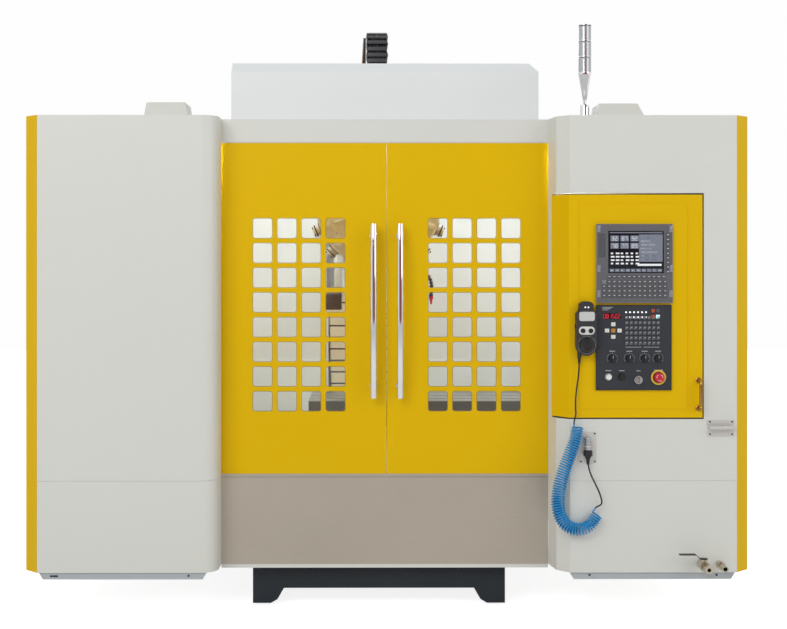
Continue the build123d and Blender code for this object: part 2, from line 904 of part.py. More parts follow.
def magazine_disc():
    """Disc that turns on the shaft, with a ring of tool holders pointing outwards."""
    rear = magazine_front_depth + magazine_thickness
    disc = forward(axis_x, rear, magazine_hub_z, magazine_radius, magazine_thickness)
    hub_rear = rear + magazine_hub_rise
    hub_length = magazine_thickness + magazine_hub_rise
    disc += forward(axis_x, hub_rear, magazine_hub_z, magazine_hub_radius, hub_length)
    hole_radius = magazine_shaft_radius + journal_gap
    shaft_hole = forward(axis_x, hub_rear + 1, magazine_hub_z, hole_radius, hub_length + 1)
    middle = magazine_front_depth + magazine_thickness / 2
    pocket_start = magazine_radius - holder_length / 2
    shapes = []
    for index in range(holder_count):
        turn = Pos(axis_x, y_at(middle), magazine_hub_z) * Rot(0, index * 360 / holder_count, 0)
        base = Cylinder(holder_radius, holder_length, align=(Align.CENTER, Align.CENTER, Align.MIN))
        disc -= turn * Pos(0, 0, pocket_start) * base
        shapes.append(turn * Pos(0, 0, pocket_start) * base)
    return [disc - shaft_hole] + shapes


# Work chamber and enclosure frame


def chute(side):
    """Sloping sheet from a side wall down to the bed."""
    bed_x = bed_right_x if side > 0 else bed_left_x
    wall_x = side * wall_half_width
    points = [
        (bed_x, chute_low_z),
        (wall_x, wall_bottom_z),
        (wall_x, wall_bottom_z - chute_sheet),
        (bed_x, chute_low_z - chute_sheet),
    ]
    return prism(front_view(wall_rear_depth), points, wall_rear_depth - inner_front_depth)


def lamp(side):
    """Work lamp housing above the door opening."""
    span = (lamp_inner_x, lamp_inner_x + lamp_length)
    front = inner_front_depth + sheet
    shapes = mirrored_block(span, (front, front + lamp_depth), (lamp_z, lamp_z + lamp_height))
    return shapes[0] if side > 0 else shapes[1]


def splash_guards():
    """Inner walls of the work chamber, the chutes below them and the lamp housings."""
    top = wing_top_z - sheet
    heights = (wall_bottom_z, top)
    side_span = (wall_half_width - sheet, wall_half_width)
    walls = mirrored_block(side_span, (inner_front_depth, wall_rear_depth), heights)
    front_depths = (inner_front_depth, inner_front_depth + sheet)
    right_x = (right_wing_inner_x + 8, wall_half_width - sheet)
    left_x = (sheet - wall_half_width, left_wing_inner_x - 8)
    walls.append(block(right_x, front_depths, heights))
    walls.append(block(left_x, front_depths, heights))
    rear = (wall_rear_depth, wall_rear_depth + sheet)
    walls.append(block((axis_x + rear_opening_half, wall_half_width), rear, heights))
    walls.append(block((-wall_half_width, axis_x - rear_opening_half), rear, heights))
    return walls + [chute(1), chute(-1), lamp(1), lamp(-1)]


def enclosure_frame():
    """Beams that carry the enclosure from the bed, with the door tracks."""
    top = frame_bottom_z + frame_beam
    heights = (frame_bottom_z, top)
    side_half = machine_width / 2 - sheet
    front = (door_depth, bed_front_depth)
    beams = [block((-side_half, side_half), front, heights)]
    sides = (side_half - frame_beam, side_half)
    beams += mirrored_block(sides, (front[1], enclosure_rear_depth - sheet), heights)
    rear = (enclosure_rear_depth - sheet - frame_beam, enclosure_rear_depth - sheet)
    beams.append(block((bed_right_x, sides[0]), rear, heights))
    beams.append(block((-sides[0], bed_left_x), rear, heights))
    tracks = (door_depth, inner_front_depth)
    span = (-track_half_length, track_half_length)
    top_track = door_top_z + door_clearance
    beams.append(block(span, tracks, (top_track, top_track + track_height)))
    low_track = door_bottom_z - door_clearance
    beams.append(block(span, tracks, (low_track - track_height, low_track)))
    post_depths = (front[1], front[1] + frame_beam)
    return beams + mirrored_block((sides[0], sides[1]), post_depths, (top, wing_top_z - sheet))


# Wings, doors and front panels


def wing_corner_edge(shape, x, depth):
    """Upright edge of a block at an x and a depth."""
    edges = shape.edges().filter_by(Axis.Z)
    return [e for e in edges if abs(e.center().X - x) < 0.01 and abs(e.center().Y - y_at(depth)) < 0.01]


def left_wing_volume(inset, depth, z_span):
    """Space behind the left wing's face, with its large rounded inner corner."""
    inner_x = left_wing_inner_x - inset
    volume = block((-wing_face_half, inner_x), (inset, depth), z_span)
    return fillet(wing_corner_edge(volume, inner_x, inset), wing_corner_radius - inset)


def return_x(depth):
    """Outer face of the right wing's second facet at a depth."""
    slope = (right_wing_inner_x - facet_x) / (wing_depth - facet_depth)
    return facet_x + slope * (depth - facet_depth)


def right_wing_volume(inset, depth, z_span):
    """Space behind the right wing's face and its two folded facets."""
    points = [
        (wing_face_half, inset),
        (wing_face_right_x + inset / 2, inset),
        (facet_x + inset * 1.1, facet_depth + inset / 2),
        (return_x(depth) + inset, depth),
        (wing_face_half, depth),
    ]
    return prism(plan_view(z_span[0]), points, z_span[1] - z_span[0])


def left_wing_shell(z_span):
    """Sheet of the left wing, open at the back."""
    return left_wing_volume(0, wing_depth, z_span) - left_wing_volume(sheet, wing_depth + 1, z_span)


def right_wing_shell(z_span):
    """Sheet of the right wing, open at the back."""
    return right_wing_volume(0, wing_depth, z_span) - right_wing_volume(sheet, wing_depth + 1, z_span)


def left_wing_panel():
    """Upper sheet of the left wing."""
    return left_wing_shell((seam_z + seam_gap, wing_top_z))


def right_wing_panel():
    """Upper sheet of the right wing, cut out behind the console door."""
    shape = right_wing_shell((seam_z + seam_gap, wing_top_z))
    span = (right_wing_inner_x - 1, console_right_x + console_gap)
    heights = (console_bottom_z - console_gap, console_top_z + console_gap)
    return shape - block(span, (-1, console_left_depth + console_gap), heights)


def kick_strip(x_span):
    """Low strip under a wing, tapered at both ends."""
    low = wing_bottom_z - kick_height
    points = [
        (x_span[0], wing_bottom_z),
        (x_span[1], wing_bottom_z),
        (x_span[1] - kick_end_inset, low),
        (x_span[0] + kick_end_inset, low),
    ]
    floor_span = (x_span[0] + kick_end_inset, x_span[1] - kick_end_inset)
    floor = block(floor_span, (sheet, door_depth), (wing_bottom_z, wing_bottom_z + sheet))
    return prism(front_view(door_depth), points, door_depth - kick_inset) + floor


def skirt_panels():
    """Lower sheets of both wings on their kick strips, and the strip under the apron."""
    heights = (wing_bottom_z, seam_z)
    left = left_wing_shell(heights)
    right = right_wing_shell(heights)
    left += kick_strip((-wing_face_half + 4, left_wing_inner_x - 40))
    right += kick_strip((wing_face_right_x, wing_face_half - 4))
    strip_z = (apron_bottom_z - strip_height, apron_bottom_z)
    strip = block((left_wing_inner_x, return_x(door_depth)), (door_depth - sheet, door_depth + 11), strip_z)
    return [left, right, strip]


def corner_trim(side):
    """Slanted strip on an outer front corner, with a short flange along the side."""
    x = machine_width / 2
    slant = (x - wing_face_half) / chamfer_depth
    points = [
        (wing_face_half, 0),
        (x, chamfer_depth),
        (x, chamfer_depth + 10),
        (x - sheet, chamfer_depth + 10),
        (x - sheet, chamfer_depth + sheet / slant),
        (wing_face_half, sheet * 1.4),
    ]
    if side < 0:
        points = [(-px, depth) for px, depth in points]
    return prism(plan_view(wing_bottom_z), points, wing_top_z - wing_bottom_z)


def corner_trims():
    """The two slanted corner strips."""
    return [corner_trim(1), corner_trim(-1)]


def header_panel():
    """Panel above the doors."""
    span = (left_wing_inner_x - sheet, return_x(door_depth) + sheet)
    return block(span, (door_depth - sheet, door_depth), (header_bottom_z, wing_top_z))


def apron_panel():
    """Panel below the doors, between the skirts of the two wings."""
    span = (left_wing_inner_x, return_x(door_depth))
    depths = (door_depth - sheet, door_depth)
    return block(span, depths, (apron_bottom_z, apron_top_z))


def window_left_x(side):
    """Left edge of a door's window grid."""
    grid = (window_columns - 1) * window_pitch_x + window_width
    return window_inner_margin if side > 0 else -window_inner_margin - grid


def sliding_door(side):
    """Folded door panel with a grid of rounded windows."""
    near = door_front_x
    span = (near, near + door_width) if side > 0 else (-near - door_width, -near)
    depths = (door_depth, door_depth + door_thickness)
    heights = (door_bottom_z, door_top_z)
    door = block(span, depths, heights)
    inner = (span[0] + sheet, span[1] - sheet)
    door -= block(inner, (depths[0] + sheet, depths[1] + 1), (heights[0] + sheet, heights[1] - sheet))
    start_x = window_left_x(side)
    windows = []
    for column in range(window_columns):
        for row in range(window_rows):
            x = start_x + window_width / 2 + column * window_pitch_x
            z = window_bottom_z + window_height / 2 + row * window_pitch_z
            windows.append(Pos(x, z) * RectangleRounded(window_width, window_height, window_radius))
    cutter = extrude(front_view(door_depth + sheet + 1) * Sketch(windows), amount=sheet + 2)
    return door - cutter


def door_glass(side):
    """Safety glass behind a door's windows."""
    start_x = window_left_x(side) - glass_margin
    grid = (window_columns - 1) * window_pitch_x + window_width
    end_x = start_x + grid + 2 * glass_margin
    top = window_bottom_z + (window_rows - 1) * window_pitch_z + window_height
    front = door_depth + sheet
    heights = (window_bottom_z - glass_margin, top + glass_margin)
    return block((start_x, end_x), (front, front + glass_thickness), heights)


def door_handle(side):
    """Bowed round bar on two posts."""
    x = side * handle_offset
    low_depth = door_depth - handle_standoff
    middle_z = (handle_bottom_z + handle_top_z) / 2
    start = (x, y_at(low_depth), handle_bottom_z)
    middle = (x, y_at(low_depth - handle_bow), middle_z)
    end = (x, y_at(low_depth), handle_top_z)
    bow = ThreePointArc(start, middle, end)
    bar = sweep(Plane(bow @ 0, z_dir=bow % 0) * Circle(handle_radius), path=bow)
    for z in (handle_bottom_z + handle_post_inset, handle_top_z - handle_post_inset):
        bar += forward(x, door_depth, z, handle_post_radius, handle_standoff)
    return bar


# Roof, hood and outer panels


def roof_box(left_x, width, height, slope_right):
    """Low cover on the roof with sloping sides."""
    run = box_slope if slope_right else box_slope / 3
    points = [
        (left_x, wing_top_z),
        (left_x + width, wing_top_z),
        (left_x + width - run, wing_top_z + height),
        (left_x + box_slope / 3, wing_top_z + height),
    ]
    return prism(front_view(box_depth + box_length), points, box_length)


def enclosure_panels():
    """Side sheets, rear sheets, the roof with its opening under the hood, and two roof covers."""
    half = machine_width / 2
    heights = (wing_bottom_z, wing_top_z)
    side_depths = (chamfer_depth + 10, enclosure_rear_depth)
    panels = mirrored_block((half - sheet, half), side_depths, heights)
    rear = (enclosure_rear_depth - sheet, enclosure_rear_depth)
    rear_heights = (wing_bottom_z, wing_top_z - sheet)
    for span in ((axis_x + rear_panel_inner_x, half - sheet), (sheet - half, axis_x - rear_panel_inner_x)):
        panel = block(span, rear, rear_heights)
        panel -= block((bed_left_x, bed_right_x), rear, (0, bed_top_z))
        panels.append(panel - block(deck_span(), rear, (0, deck_top_z)))
    roof_z = (wing_top_z - sheet, wing_top_z)
    corner = chamfer_depth + 10
    roof = block((sheet - half, half - sheet), (door_depth, enclosure_rear_depth), roof_z)
    roof += left_wing_volume(sheet, door_depth, roof_z) + right_wing_volume(sheet, door_depth, roof_z)
    for strip in mirrored_block((wing_face_half - 1, half - sheet), (corner, door_depth), roof_z):
        roof += strip
    opening = (roof_opening_front, enclosure_rear_depth + 1)
    roof -= block((-roof_opening_half, roof_opening_half), opening, roof_z)
    panels.append(roof)
    panels.append(roof_box(left_box_x, left_box_width, left_box_height, False))
    panels.append(roof_box(right_box_x, right_box_width, right_box_height, True))
    return panels


def hood_solid(inset):
    """Hood volume with folded front and right edges, reduced by an inset on each face."""
    left = inset - hood_half_width
    right = hood_half_width - inset
    top = hood_top_z - inset
    fold_z = top - hood_fold_height
    front = hood_front_depth + inset
    side = [
        (front, wing_top_z),
        (hood_rear_depth - inset, wing_top_z),
        (hood_rear_depth - inset, top),
        (front + hood_fold_depth, top),
        (front, fold_z),
    ]
    face = [
        (left, wing_top_z),
        (right, wing_top_z),
        (right, fold_z),
        (right - hood_side_chamfer, top),
        (left, top),
    ]
    along = prism(side_view(left), side, right - left)
    across = prism(front_view(hood_rear_depth), face, hood_rear_depth - hood_front_depth)
    return along & across


def top_hood():
    """Folded hood over the head motor and column, with a slot for the cable chain."""
    slot_half = chain_width / 2 + chain_slot_margin
    slot = (chain_front_depth - chain_slot_margin, chain_rear_depth - chain_slot_margin)
    heights = (hood_top_z - 2 * sheet, hood_top_z + 1)
    hood = hood_solid(0) - hood_solid(sheet)
    hood -= block((axis_x - slot_half, axis_x + slot_half), slot, heights)
    bracket_left = axis_x - chain_width / 2 - chain_bracket_width
    bracket = [
        (bracket_left, hood_top_z),
        (bracket_left + chain_bracket_width - 2, hood_top_z),
        (bracket_left + chain_bracket_width - 2, chain_bend_z + 80),
        (bracket_left + chain_bracket_width / 2, chain_bend_z + 80),
    ]
    depth = chain_rear_depth + chain_thickness
    return [hood, prism(front_view(depth), bracket, chain_thickness)]


# Console


def console_profile(offset):
    """Plan outline of the console door's outer face, moved inwards by an offset."""
    return [
        (console_left_x + offset, console_left_depth),
        (console_fold_x + offset / 2, offset - console_proud),
        (console_right_x - offset, offset - console_proud),
        (console_right_x - offset, console_flange),
        (console_fold_x + 20, console_flange),
        (console_fold_x - 8, console_left_depth),
    ]


def round_bar_handle(x, low_z, high_z, depth, radius, standoff):
    """Upright bar on two posts, bent from one round rod."""
    reach = y_at(depth - standoff)
    back = y_at(depth)
    corners = [(x, back, low_z), (x, reach, low_z), (x, reach, high_z), (x, back, high_z)]
    path = FilletPolyline(*corners, radius=14)
    return sweep(Plane(path @ 0, z_dir=path % 0) * Circle(radius), path=path)


def console_door():
    """Hinged console door: folded sheet with a slanted left side, cut out for its two units."""
    height = console_top_z - console_bottom_z
    door = prism(plan_view(console_bottom_z), console_profile(0), height)
    inner = [
        (console_left_x + 4, console_left_depth + 1),
        (console_fold_x + sheet / 2, sheet - console_proud),
        (console_right_x - sheet, sheet - console_proud),
        (console_right_x - sheet, console_flange + 1),
        (console_fold_x + 19, console_flange + 1),
        (console_fold_x - 8, console_left_depth + 1),
    ]
    door -= prism(plan_view(console_bottom_z + sheet), inner, height - 2 * sheet)
    emboss_depths = (-console_proud - emboss_height, -console_proud)
    frame = block((emboss_left_x, emboss_right_x), emboss_depths, (emboss_bottom_z, emboss_top_z))
    hollow_x = (emboss_left_x + emboss_width, emboss_right_x - emboss_width)
    hollow_z = (emboss_bottom_z + emboss_width, emboss_top_z - emboss_width)
    door += frame - block(hollow_x, emboss_depths, hollow_z)
    inset = display_body_inset - touch
    span = (display_left_x + inset, display_left_x + display_width - inset)
    depths = (-console_proud - 1, 2 * sheet)
    door -= block(span, depths, (display_bottom_z + inset, display_top_z - inset))
    door -= block(span, depths, (panel_bottom_z + inset, panel_bottom_z + panel_height - inset))
    handle = round_bar_handle(
        pull_handle_x,
        pull_handle_bottom_z,
        pull_handle_top_z,
        -console_proud,
        pull_handle_radius,
        pull_handle_standoff,
    )
    return [door, handle]


def raised_keys(xs, zs, width, height, depth):
    """Grid of low keys on a face at a depth."""
    keys = []
    for x in xs:
        for z in zs:
            span = (x - width / 2, x + width / 2)
            keys.append(block(span, (depth - key_height, depth), (z - height / 2, z + height / 2)))
    return keys


def steps(start, pitch, count):
    """Evenly spaced values."""
    return [start + pitch * index for index in range(count)]


def display_unit():
    """Screen unit: bezel with a recessed screen, soft keys and keyboard rows, body behind."""
    front = -console_proud - display_bezel
    span = (display_left_x, display_left_x + display_width)
    unit = block(span, (front, -console_proud), (display_bottom_z, display_top_z))
    inset = display_body_inset
    body_span = (span[0] + inset, span[1] - inset)
    body_z = (display_bottom_z + inset, display_top_z - inset)
    unit += block(body_span, (-console_proud, display_body_depth), body_z)
    screen_span = (screen_left_x, screen_left_x + screen_width)
    screen_z = (screen_bottom_z, screen_bottom_z + screen_height)
    unit -= block(screen_span, (front, front + screen_recess), screen_z)
    cover_span = (display_left_x + 8, display_left_x + 32)
    unit -= block(cover_span, (front, front + 3), (display_bottom_z + 175, display_bottom_z + 262))
    side_keys = steps(screen_bottom_z + 6, 17.6, 9)
    keys = raised_keys([screen_left_x + screen_width + 15], side_keys, 13, 13, front)
    row_x = steps(screen_left_x + 4, 18.9, 12)
    keys += raised_keys(row_x, [screen_bottom_z - 14], 14, 10, front)
    keyboard_x = steps(display_left_x + 28, 19.4, 13)
    keyboard_z = steps(display_bottom_z + 27, 17.6, 4)
    keys += raised_keys(keyboard_x, keyboard_z, 15, 12, front)
    return unit + keys


def control_holes(face_depth):
    """Blind seats for the stems of all knobs, buttons and the key switch."""
    seats = []
    for x in knob_positions_x:
        seats.append((x, knob_z, knob_stem_radius + knob_seat_gap))
    for x in (start_button_x, hold_button_x):
        seats.append((x, button_z, button_radius + knob_seat_gap))
    seats.append((key_switch_x, key_switch_z, key_switch_radius + knob_seat_gap))
    seats.append((estop_x, estop_z, estop_radius / 2 + knob_seat_gap))
    return [forward(x, face_depth + 20, z, radius, 40) for x, z, radius in seats]


def operator_panel():
    """Panel with membrane keys, small lights, a digit display window and seats for controls."""
    front = panel_front_depth
    span = (display_left_x - 2, display_left_x + display_width - 3)
    top = panel_bottom_z + panel_height
    panel = block(span, (front, -console_proud), (panel_bottom_z, top))
    inset = display_body_inset + 3
    body_span = (span[0] + inset, span[1] - inset)
    panel += block(body_span, (-console_proud, panel_body_depth), (panel_bottom_z + inset, top - inset))
    columns = steps(key_grid_x, key_grid_pitch_x, 8)
    panel += raised_keys(columns, steps(key_grid_z, key_grid_pitch_z, 6), key_size, key_size, front)
    for across, up in ((0, 0), (1, 0), (-1, 0), (0, 1), (0, -1)):
        panel += raised_keys([jog_x + across * jog_pitch], [jog_z + up * jog_pitch], 16, 14, front)
    panel += raised_keys(steps(light_row_x, light_row_pitch, 6), light_rows_z, light_size, light_size, front)
    panel += raised_keys(spare_key_columns_x, spare_key_rows_z, spare_key_size, spare_key_size, front)
    panel -= block(digits_x, (front, front + screen_recess), digits_z)
    for x in (start_button_x, hold_button_x):
        panel += forward(x, front, button_z, bezel_radius, bezel_height)
    panel += forward(key_switch_x, front, key_switch_z, key_switch_radius + 4, bezel_height)
    panel += forward(estop_x, front, estop_z, estop_ring_radius, bezel_height)
    for seat in control_holes(front):
        panel -= seat
    return panel


def rotary_knob(x):
    """Knob with a raised grip bar, on a stem that turns in the panel."""
    face = panel_front_depth - knob_seat_gap
    knob = forward(x, face, knob_z, knob_radius, knob_height - 6)
    grip_depths = (face - knob_height, face - knob_height + 6.5)
    grip_half = knob_radius - 1
    grip = block((x - 3.5, x + 3.5), grip_depths, (knob_z - grip_half, knob_z + grip_half))
    stem = forward(x, panel_front_depth + 18, knob_z, knob_stem_radius, 18 + knob_seat_gap)
    return knob + grip + stem


def push_button(x):
    """Round cap that travels into its bezel."""
    depth = panel_front_depth + 12
    return forward(x, depth, button_z, button_radius, 12 + bezel_height + button_height)


def key_switch():
    """Lock barrel with its key."""
    length = 18 + bezel_height + 4
    barrel = forward(key_switch_x, panel_front_depth + 18, key_switch_z, key_switch_radius, length)
    face = panel_front_depth - bezel_height - 4
    grip_z = (key_switch_z - 11, key_switch_z + 11)
    return barrel + block((key_switch_x - 1.5, key_switch_x + 1.5), (face - 26, face), grip_z)


def estop_button():
    """Mushroom button on its stem."""
    face = panel_front_depth - bezel_height - estop_travel - 1
    stem_length = 18 + bezel_height + estop_travel
    stem = forward(estop_x, panel_front_depth + 12, estop_z, estop_radius / 2, stem_length)
    cap = forward(estop_x, face, estop_z, estop_radius, estop_height - 10)
    rim = cap.edges().filter_by(GeomType.CIRCLE).sort_by(Axis.Y)[0]
    return fillet(rim, 7) + stem


def pendant_body():
    """Pendant housing: round lower part, waist, head and the cord gland below."""
    back = -console_proud - emboss_height - touch
    plane = front_view(back)
    head_height = pendant_top_z - pendant_shoulder_z + 10
    head_z = pendant_top_z - head_height / 2
    head = Pos(pendant_x, head_z) * RectangleRounded(pendant_head_width, head_height, 10)
    waist_height = pendant_shoulder_z - pendant_wheel_z
    waist_z = pendant_wheel_z + waist_height / 2
    waist = Pos(pendant_x, waist_z) * RectangleRounded(pendant_waist, waist_height, 9)
    round_part = Pos(pendant_x, pendant_wheel_z) * Circle(pendant_wheel_radius)
    body = extrude(plane * (round_part + waist + head), amount=pendant_thickness)
    body += gland()
    for x in selector_positions_x:
        body -= forward(x, back - pendant_thickness + 12, selector_z, 3 + knob_seat_gap, 20)
    face = back - pendant_thickness
    body -= forward(pendant_x, face + 12, pendant_wheel_z, wheel_stem_radius + knob_seat_gap, 20)
    return body


def gland_bottom_z():
    """Height where the cord leaves the pendant."""
    return pendant_wheel_z - pendant_wheel_radius - gland_length + 6


def gland():
    """Strain relief below the pendant."""
    height = gland_length + 12
    return upright(gland_x, cord_depth, gland_bottom_z(), gland_radius, height)


def pendant_face():
    """Depth of the pendant's front face."""
    return -console_proud - emboss_height - touch - pendant_thickness


def handwheel():
    """Pulse handwheel with a crank knob."""
    face = pendant_face()
    wheel = forward(pendant_x, face - knob_seat_gap, pendant_wheel_z, wheel_radius, wheel_height)
    rim = wheel.edges().filter_by(GeomType.CIRCLE).sort_by(Axis.Y)[0]
    wheel = fillet(rim, 3)
    stem = forward(pendant_x, face + 11, pendant_wheel_z, wheel_stem_radius, 12)
    crank_z = pendant_wheel_z + wheel_radius * 0.66
    return wheel + stem + forward(pendant_x, face - wheel_height, crank_z, crank_radius, crank_height)


def selector(x):
    """Small rotary selector on the pendant."""
    face = pendant_face()
    knob = forward(x, face - knob_seat_gap, selector_z, selector_radius, selector_height - 4)
    grip = block((x - 2, x + 2), (face - selector_height - 1, face - 6), (selector_z - 8, selector_z + 8))
    return knob + grip + forward(x, face + 11, selector_z, 3, 12)


# Pendant cord

upper_route = [
    (731, -26, 1009),
    (731, -26, 974),
    (727, -26.5, 930),
    (720, -27, 886),
    (716, -28, 842),
    (717, -28, 800),
    (721, -28, 762),
]
coil_route = [
    (721, -28, 762),
    (725, -28, 724),
    (709, -28, 676),
    (689, -28, 622),
    (670, -28, 570),
    (655, -28, 516),
    (648, -28, 462),
    (654, -28, 408),
    (682, -28, 364),
    (728, -28, 350),
    (774, -28, 366),
    (810, -28, 429),
]
lower_route = [
    (810, -28, 429),
    (819, -28, 445),
    (815, -28, 470),
    (806, -27.5, 498),
    (790, -26, 530),
    (775, -24, 562),
    (765, -22, 594),
    (765, -22, 624),
]


def bend_radii(route):
    """Radius of the arc at each inner point of a route."""
    radii = []
    for before, here, after in zip(route, route[1:], route[2:]):
        first = Vector(*here) - Vector(*before)
        second = Vector(*after) - Vector(*here)
        shorter = min(first.length, second.length)
        half_turn = math.radians(first.get_angle(second)) / 2
        radii.append(0.45 * shorter / math.tan(half_turn))
    return radii


def cord_tube(route, radius):
    """Round tube of straight runs joined by tangent arcs along a route."""
    radii = bend_radii(route)
    points = [(x, y_at(depth), z) for x, depth, z in route]
    path = FilletPolyline(*points, radius=radii)
    tube = sweep(Plane(path @ 0, z_dir=path % 0) * Circle(radius), path=path)
    section = math.pi * radius**2
    print("cord run", round(path.length), "volume ratio", round(tube.volume / section / path.length, 4))
    print("bend radii", [round(value) for value in radii])
    return tube


def cord_plug():
    """Round plug on the lower end of the cord."""
    return upright(plug_x, plug_depth, plug_bottom_z, plug_radius, plug_height)


# Fittings on the right wing


def wall_fittings():
    """Socket plate with its socket and bracket, and the small shelf with its back plate."""
    plate_x = (socket_plate_left_x, socket_plate_left_x + socket_plate_width)
    plate_z = (socket_plate_bottom_z, socket_plate_bottom_z + socket_plate_height)
    plate = block(plate_x, (-2, 0), plate_z)
    socket_z = plug_bottom_z + plug_height
    plate += upright(plug_x, plug_depth, socket_z, socket_radius, socket_height)
    bracket_z = (socket_z + socket_height / 2, socket_z + socket_height)
    plate += block((plug_x - 9, plug_x + 9), (plug_depth, -1), bracket_z)
    shelf_x = (shelf_left_x, shelf_left_x + shelf_width)
    shelf = block(shelf_x, (-2, 0), (shelf_bottom_z - 32, shelf_bottom_z + shelf_height))
    shelf += block(shelf_x, (-shelf_reach, 0), (shelf_bottom_z, shelf_bottom_z + 2))
    shelf += block(shelf_x, (-shelf_reach, 2 - shelf_reach), (shelf_bottom_z, shelf_bottom_z + 12))
    return [plate, shelf]


def coolant_fittings():
    """Ball valve and a hose fitting that stick out of the wing."""
    valve = forward(valve_x, 0, valve_z, valve_pipe_radius, front_reach)
    valve += forward(valve_x, -30, valve_z, valve_body_radius, 56)
    nut_rear = valve_nut_length - front_reach
    valve += forward(valve_x, nut_rear, valve_z, valve_pipe_radius + 4, valve_nut_length)
    valve -= forward(valve_x, 0, valve_z, valve_pipe_radius - 4, front_reach)
    valve += upright(valve_x, -58, valve_z + 8, valve_stem_radius + 5, lever_rise - 10)
    fitting = forward(fitting_x, 0, fitting_z, fitting_radius, fitting_reach)
    fitting += forward(fitting_x, -20, fitting_z, fitting_radius + 4, 22)
    fitting -= forward(fitting_x, 0, fitting_z, fitting_radius - 4, fitting_reach)
    return [valve, fitting]


def valve_lever():
    """Flat cranked lever on the valve stem, pointing left."""
    low = valve_z + 8 + lever_rise - 10 + touch
    plate_x = (valve_x - 16, valve_x + 12)
    depths = (-58 - lever_width / 2, -58 + lever_width / 2)
    lever = block(plate_x, depths, (low, low + lever_thickness))
    crank = [
        (valve_x - 16, low),
        (valve_x - 16, low + lever_thickness),
        (valve_x - 32, low + 16 + lever_thickness),
        (valve_x - 32 - lever_length, low + 16 + lever_thickness),
        (valve_x - 32 - lever_length, low + 16),
        (valve_x - 30, low + 16),
    ]
    return lever + prism(front_view(depths[1]), crank, lever_width)


# Roof light, cabinet and tank


def signal_tower():
    """Signal lamp that tapers to a thin neck on a round foot."""
    light_z = tower_top_z - tower_light_height
    neck_z = light_z - tower_taper_height
    foot = upright(tower_x, tower_depth, wing_top_z, tower_base_radius, tower_base_height)
    foot += upright(tower_x, tower_depth, wing_top_z, tower_foot_radius, tower_foot_height)
    foot += upright(tower_x, tower_depth, wing_top_z, tower_neck_radius, neck_z - wing_top_z)
    low_end = (Align.CENTER, Align.CENTER, Align.MIN)
    taper = Cone(tower_neck_radius, tower_light_radius, tower_taper_height, align=low_end)
    light = Pos(tower_x, y_at(tower_depth), neck_z) * taper
    light += upright(tower_x, tower_depth, light_z, tower_light_radius, tower_light_height)
    return [foot, light]


def electrical_cabinet():
    """Cabinet open at the back, on two brackets, with a mounting plate and drive units inside."""
    span = (-cabinet_half_width, cabinet_half_width)
    depths = (cabinet_front_depth, cabinet_rear_depth)
    heights = (cabinet_bottom_z, cabinet_top_z)
    shell = block(span, depths, heights)
    wall = cabinet_sheet
    inner_x = (span[0] + wall, span[1] - wall)
    inner_z = (heights[0] + wall, heights[1] - wall)
    shell -= block(inner_x, (depths[0] + wall, depths[1] + 1), inner_z)
    plate_front = depths[0] + wall
    plate_x = (inner_x[0] + 30, inner_x[1] - 30)
    plate = block(plate_x, (plate_front, plate_front + cabinet_sheet), (inner_z[0] + 60, inner_z[1] - 60))
    parts = [shell, plate]
    back = plate_front + cabinet_sheet
    drive_depths = (back, plate_front + large_drive_depth)
    for x in steps(inner_x[0] + 70, large_drive_pitch, 5):
        parts.append(block((x, x + large_drive_width), drive_depths, large_drive_z))
    drive_depths = (back, plate_front + small_drive_depth)
    for x in steps(inner_x[0] + 80, small_drive_pitch, 3):
        parts.append(block((x, x + small_drive_width), drive_depths, small_drive_z))
    bracket_depths = (bed_rear_depth, cabinet_front_depth)
    bracket_z = (cabinet_bottom_z, deck_top_z)
    span = (axis_x - deck_half_width, axis_x - deck_half_width + 80)
    parts.append(block(span, bracket_depths, bracket_z))
    span = (axis_x + deck_half_width - 80, axis_x + deck_half_width)
    parts.append(block(span, bracket_depths, bracket_z))
    return parts


def cabinet_door():
    """Cabinet door with the main switch and a turning lock."""
    front = cabinet_rear_depth + cabinet_door_gap
    rear = front + cabinet_door_thickness
    span = (-cabinet_half_width, cabinet_half_width)
    door = block(span, (front, rear), (cabinet_bottom_z, cabinet_top_z))
    inner_x = (20 - cabinet_half_width, cabinet_half_width - 20)
    inner_z = (cabinet_bottom_z + 20, cabinet_top_z - 20)
    door -= block(inner_x, (front, rear - sheet), inner_z)
    reach = rear_depth - rear
    door += forward(cabinet_half_width - switch_inset, rear + reach, switch_z, switch_radius, reach)
    return door


def coolant_tank():
    """Sheet tank behind the bed on four short feet, with a cover and two pumps."""
    span = (-tank_half_width, tank_half_width)
    depths = (tank_front_depth, tank_rear_depth)
    tank = block(span, depths, (tank_bottom_z, tank_top_z))
    inner_x = (span[0] + tank_wall, span[1] - tank_wall)
    inner_depths = (depths[0] + tank_wall, depths[1] - tank_wall)
    tank -= block(inner_x, inner_depths, (tank_bottom_z + tank_wall, tank_top_z - tank_wall))
    middle = (tank_front_depth + tank_rear_depth) / 2
    for x in (-tank_half_width + 160, -tank_half_width + 340):
        tank += upright(x, middle, tank_top_z, pump_radius, pump_height)
    for x in (-tank_half_width + 60, tank_half_width - 60):
        for depth in (tank_front_depth + 50, tank_rear_depth - 50):
            tank += upright(x, depth, 0, 28, tank_bottom_z)
    return tank


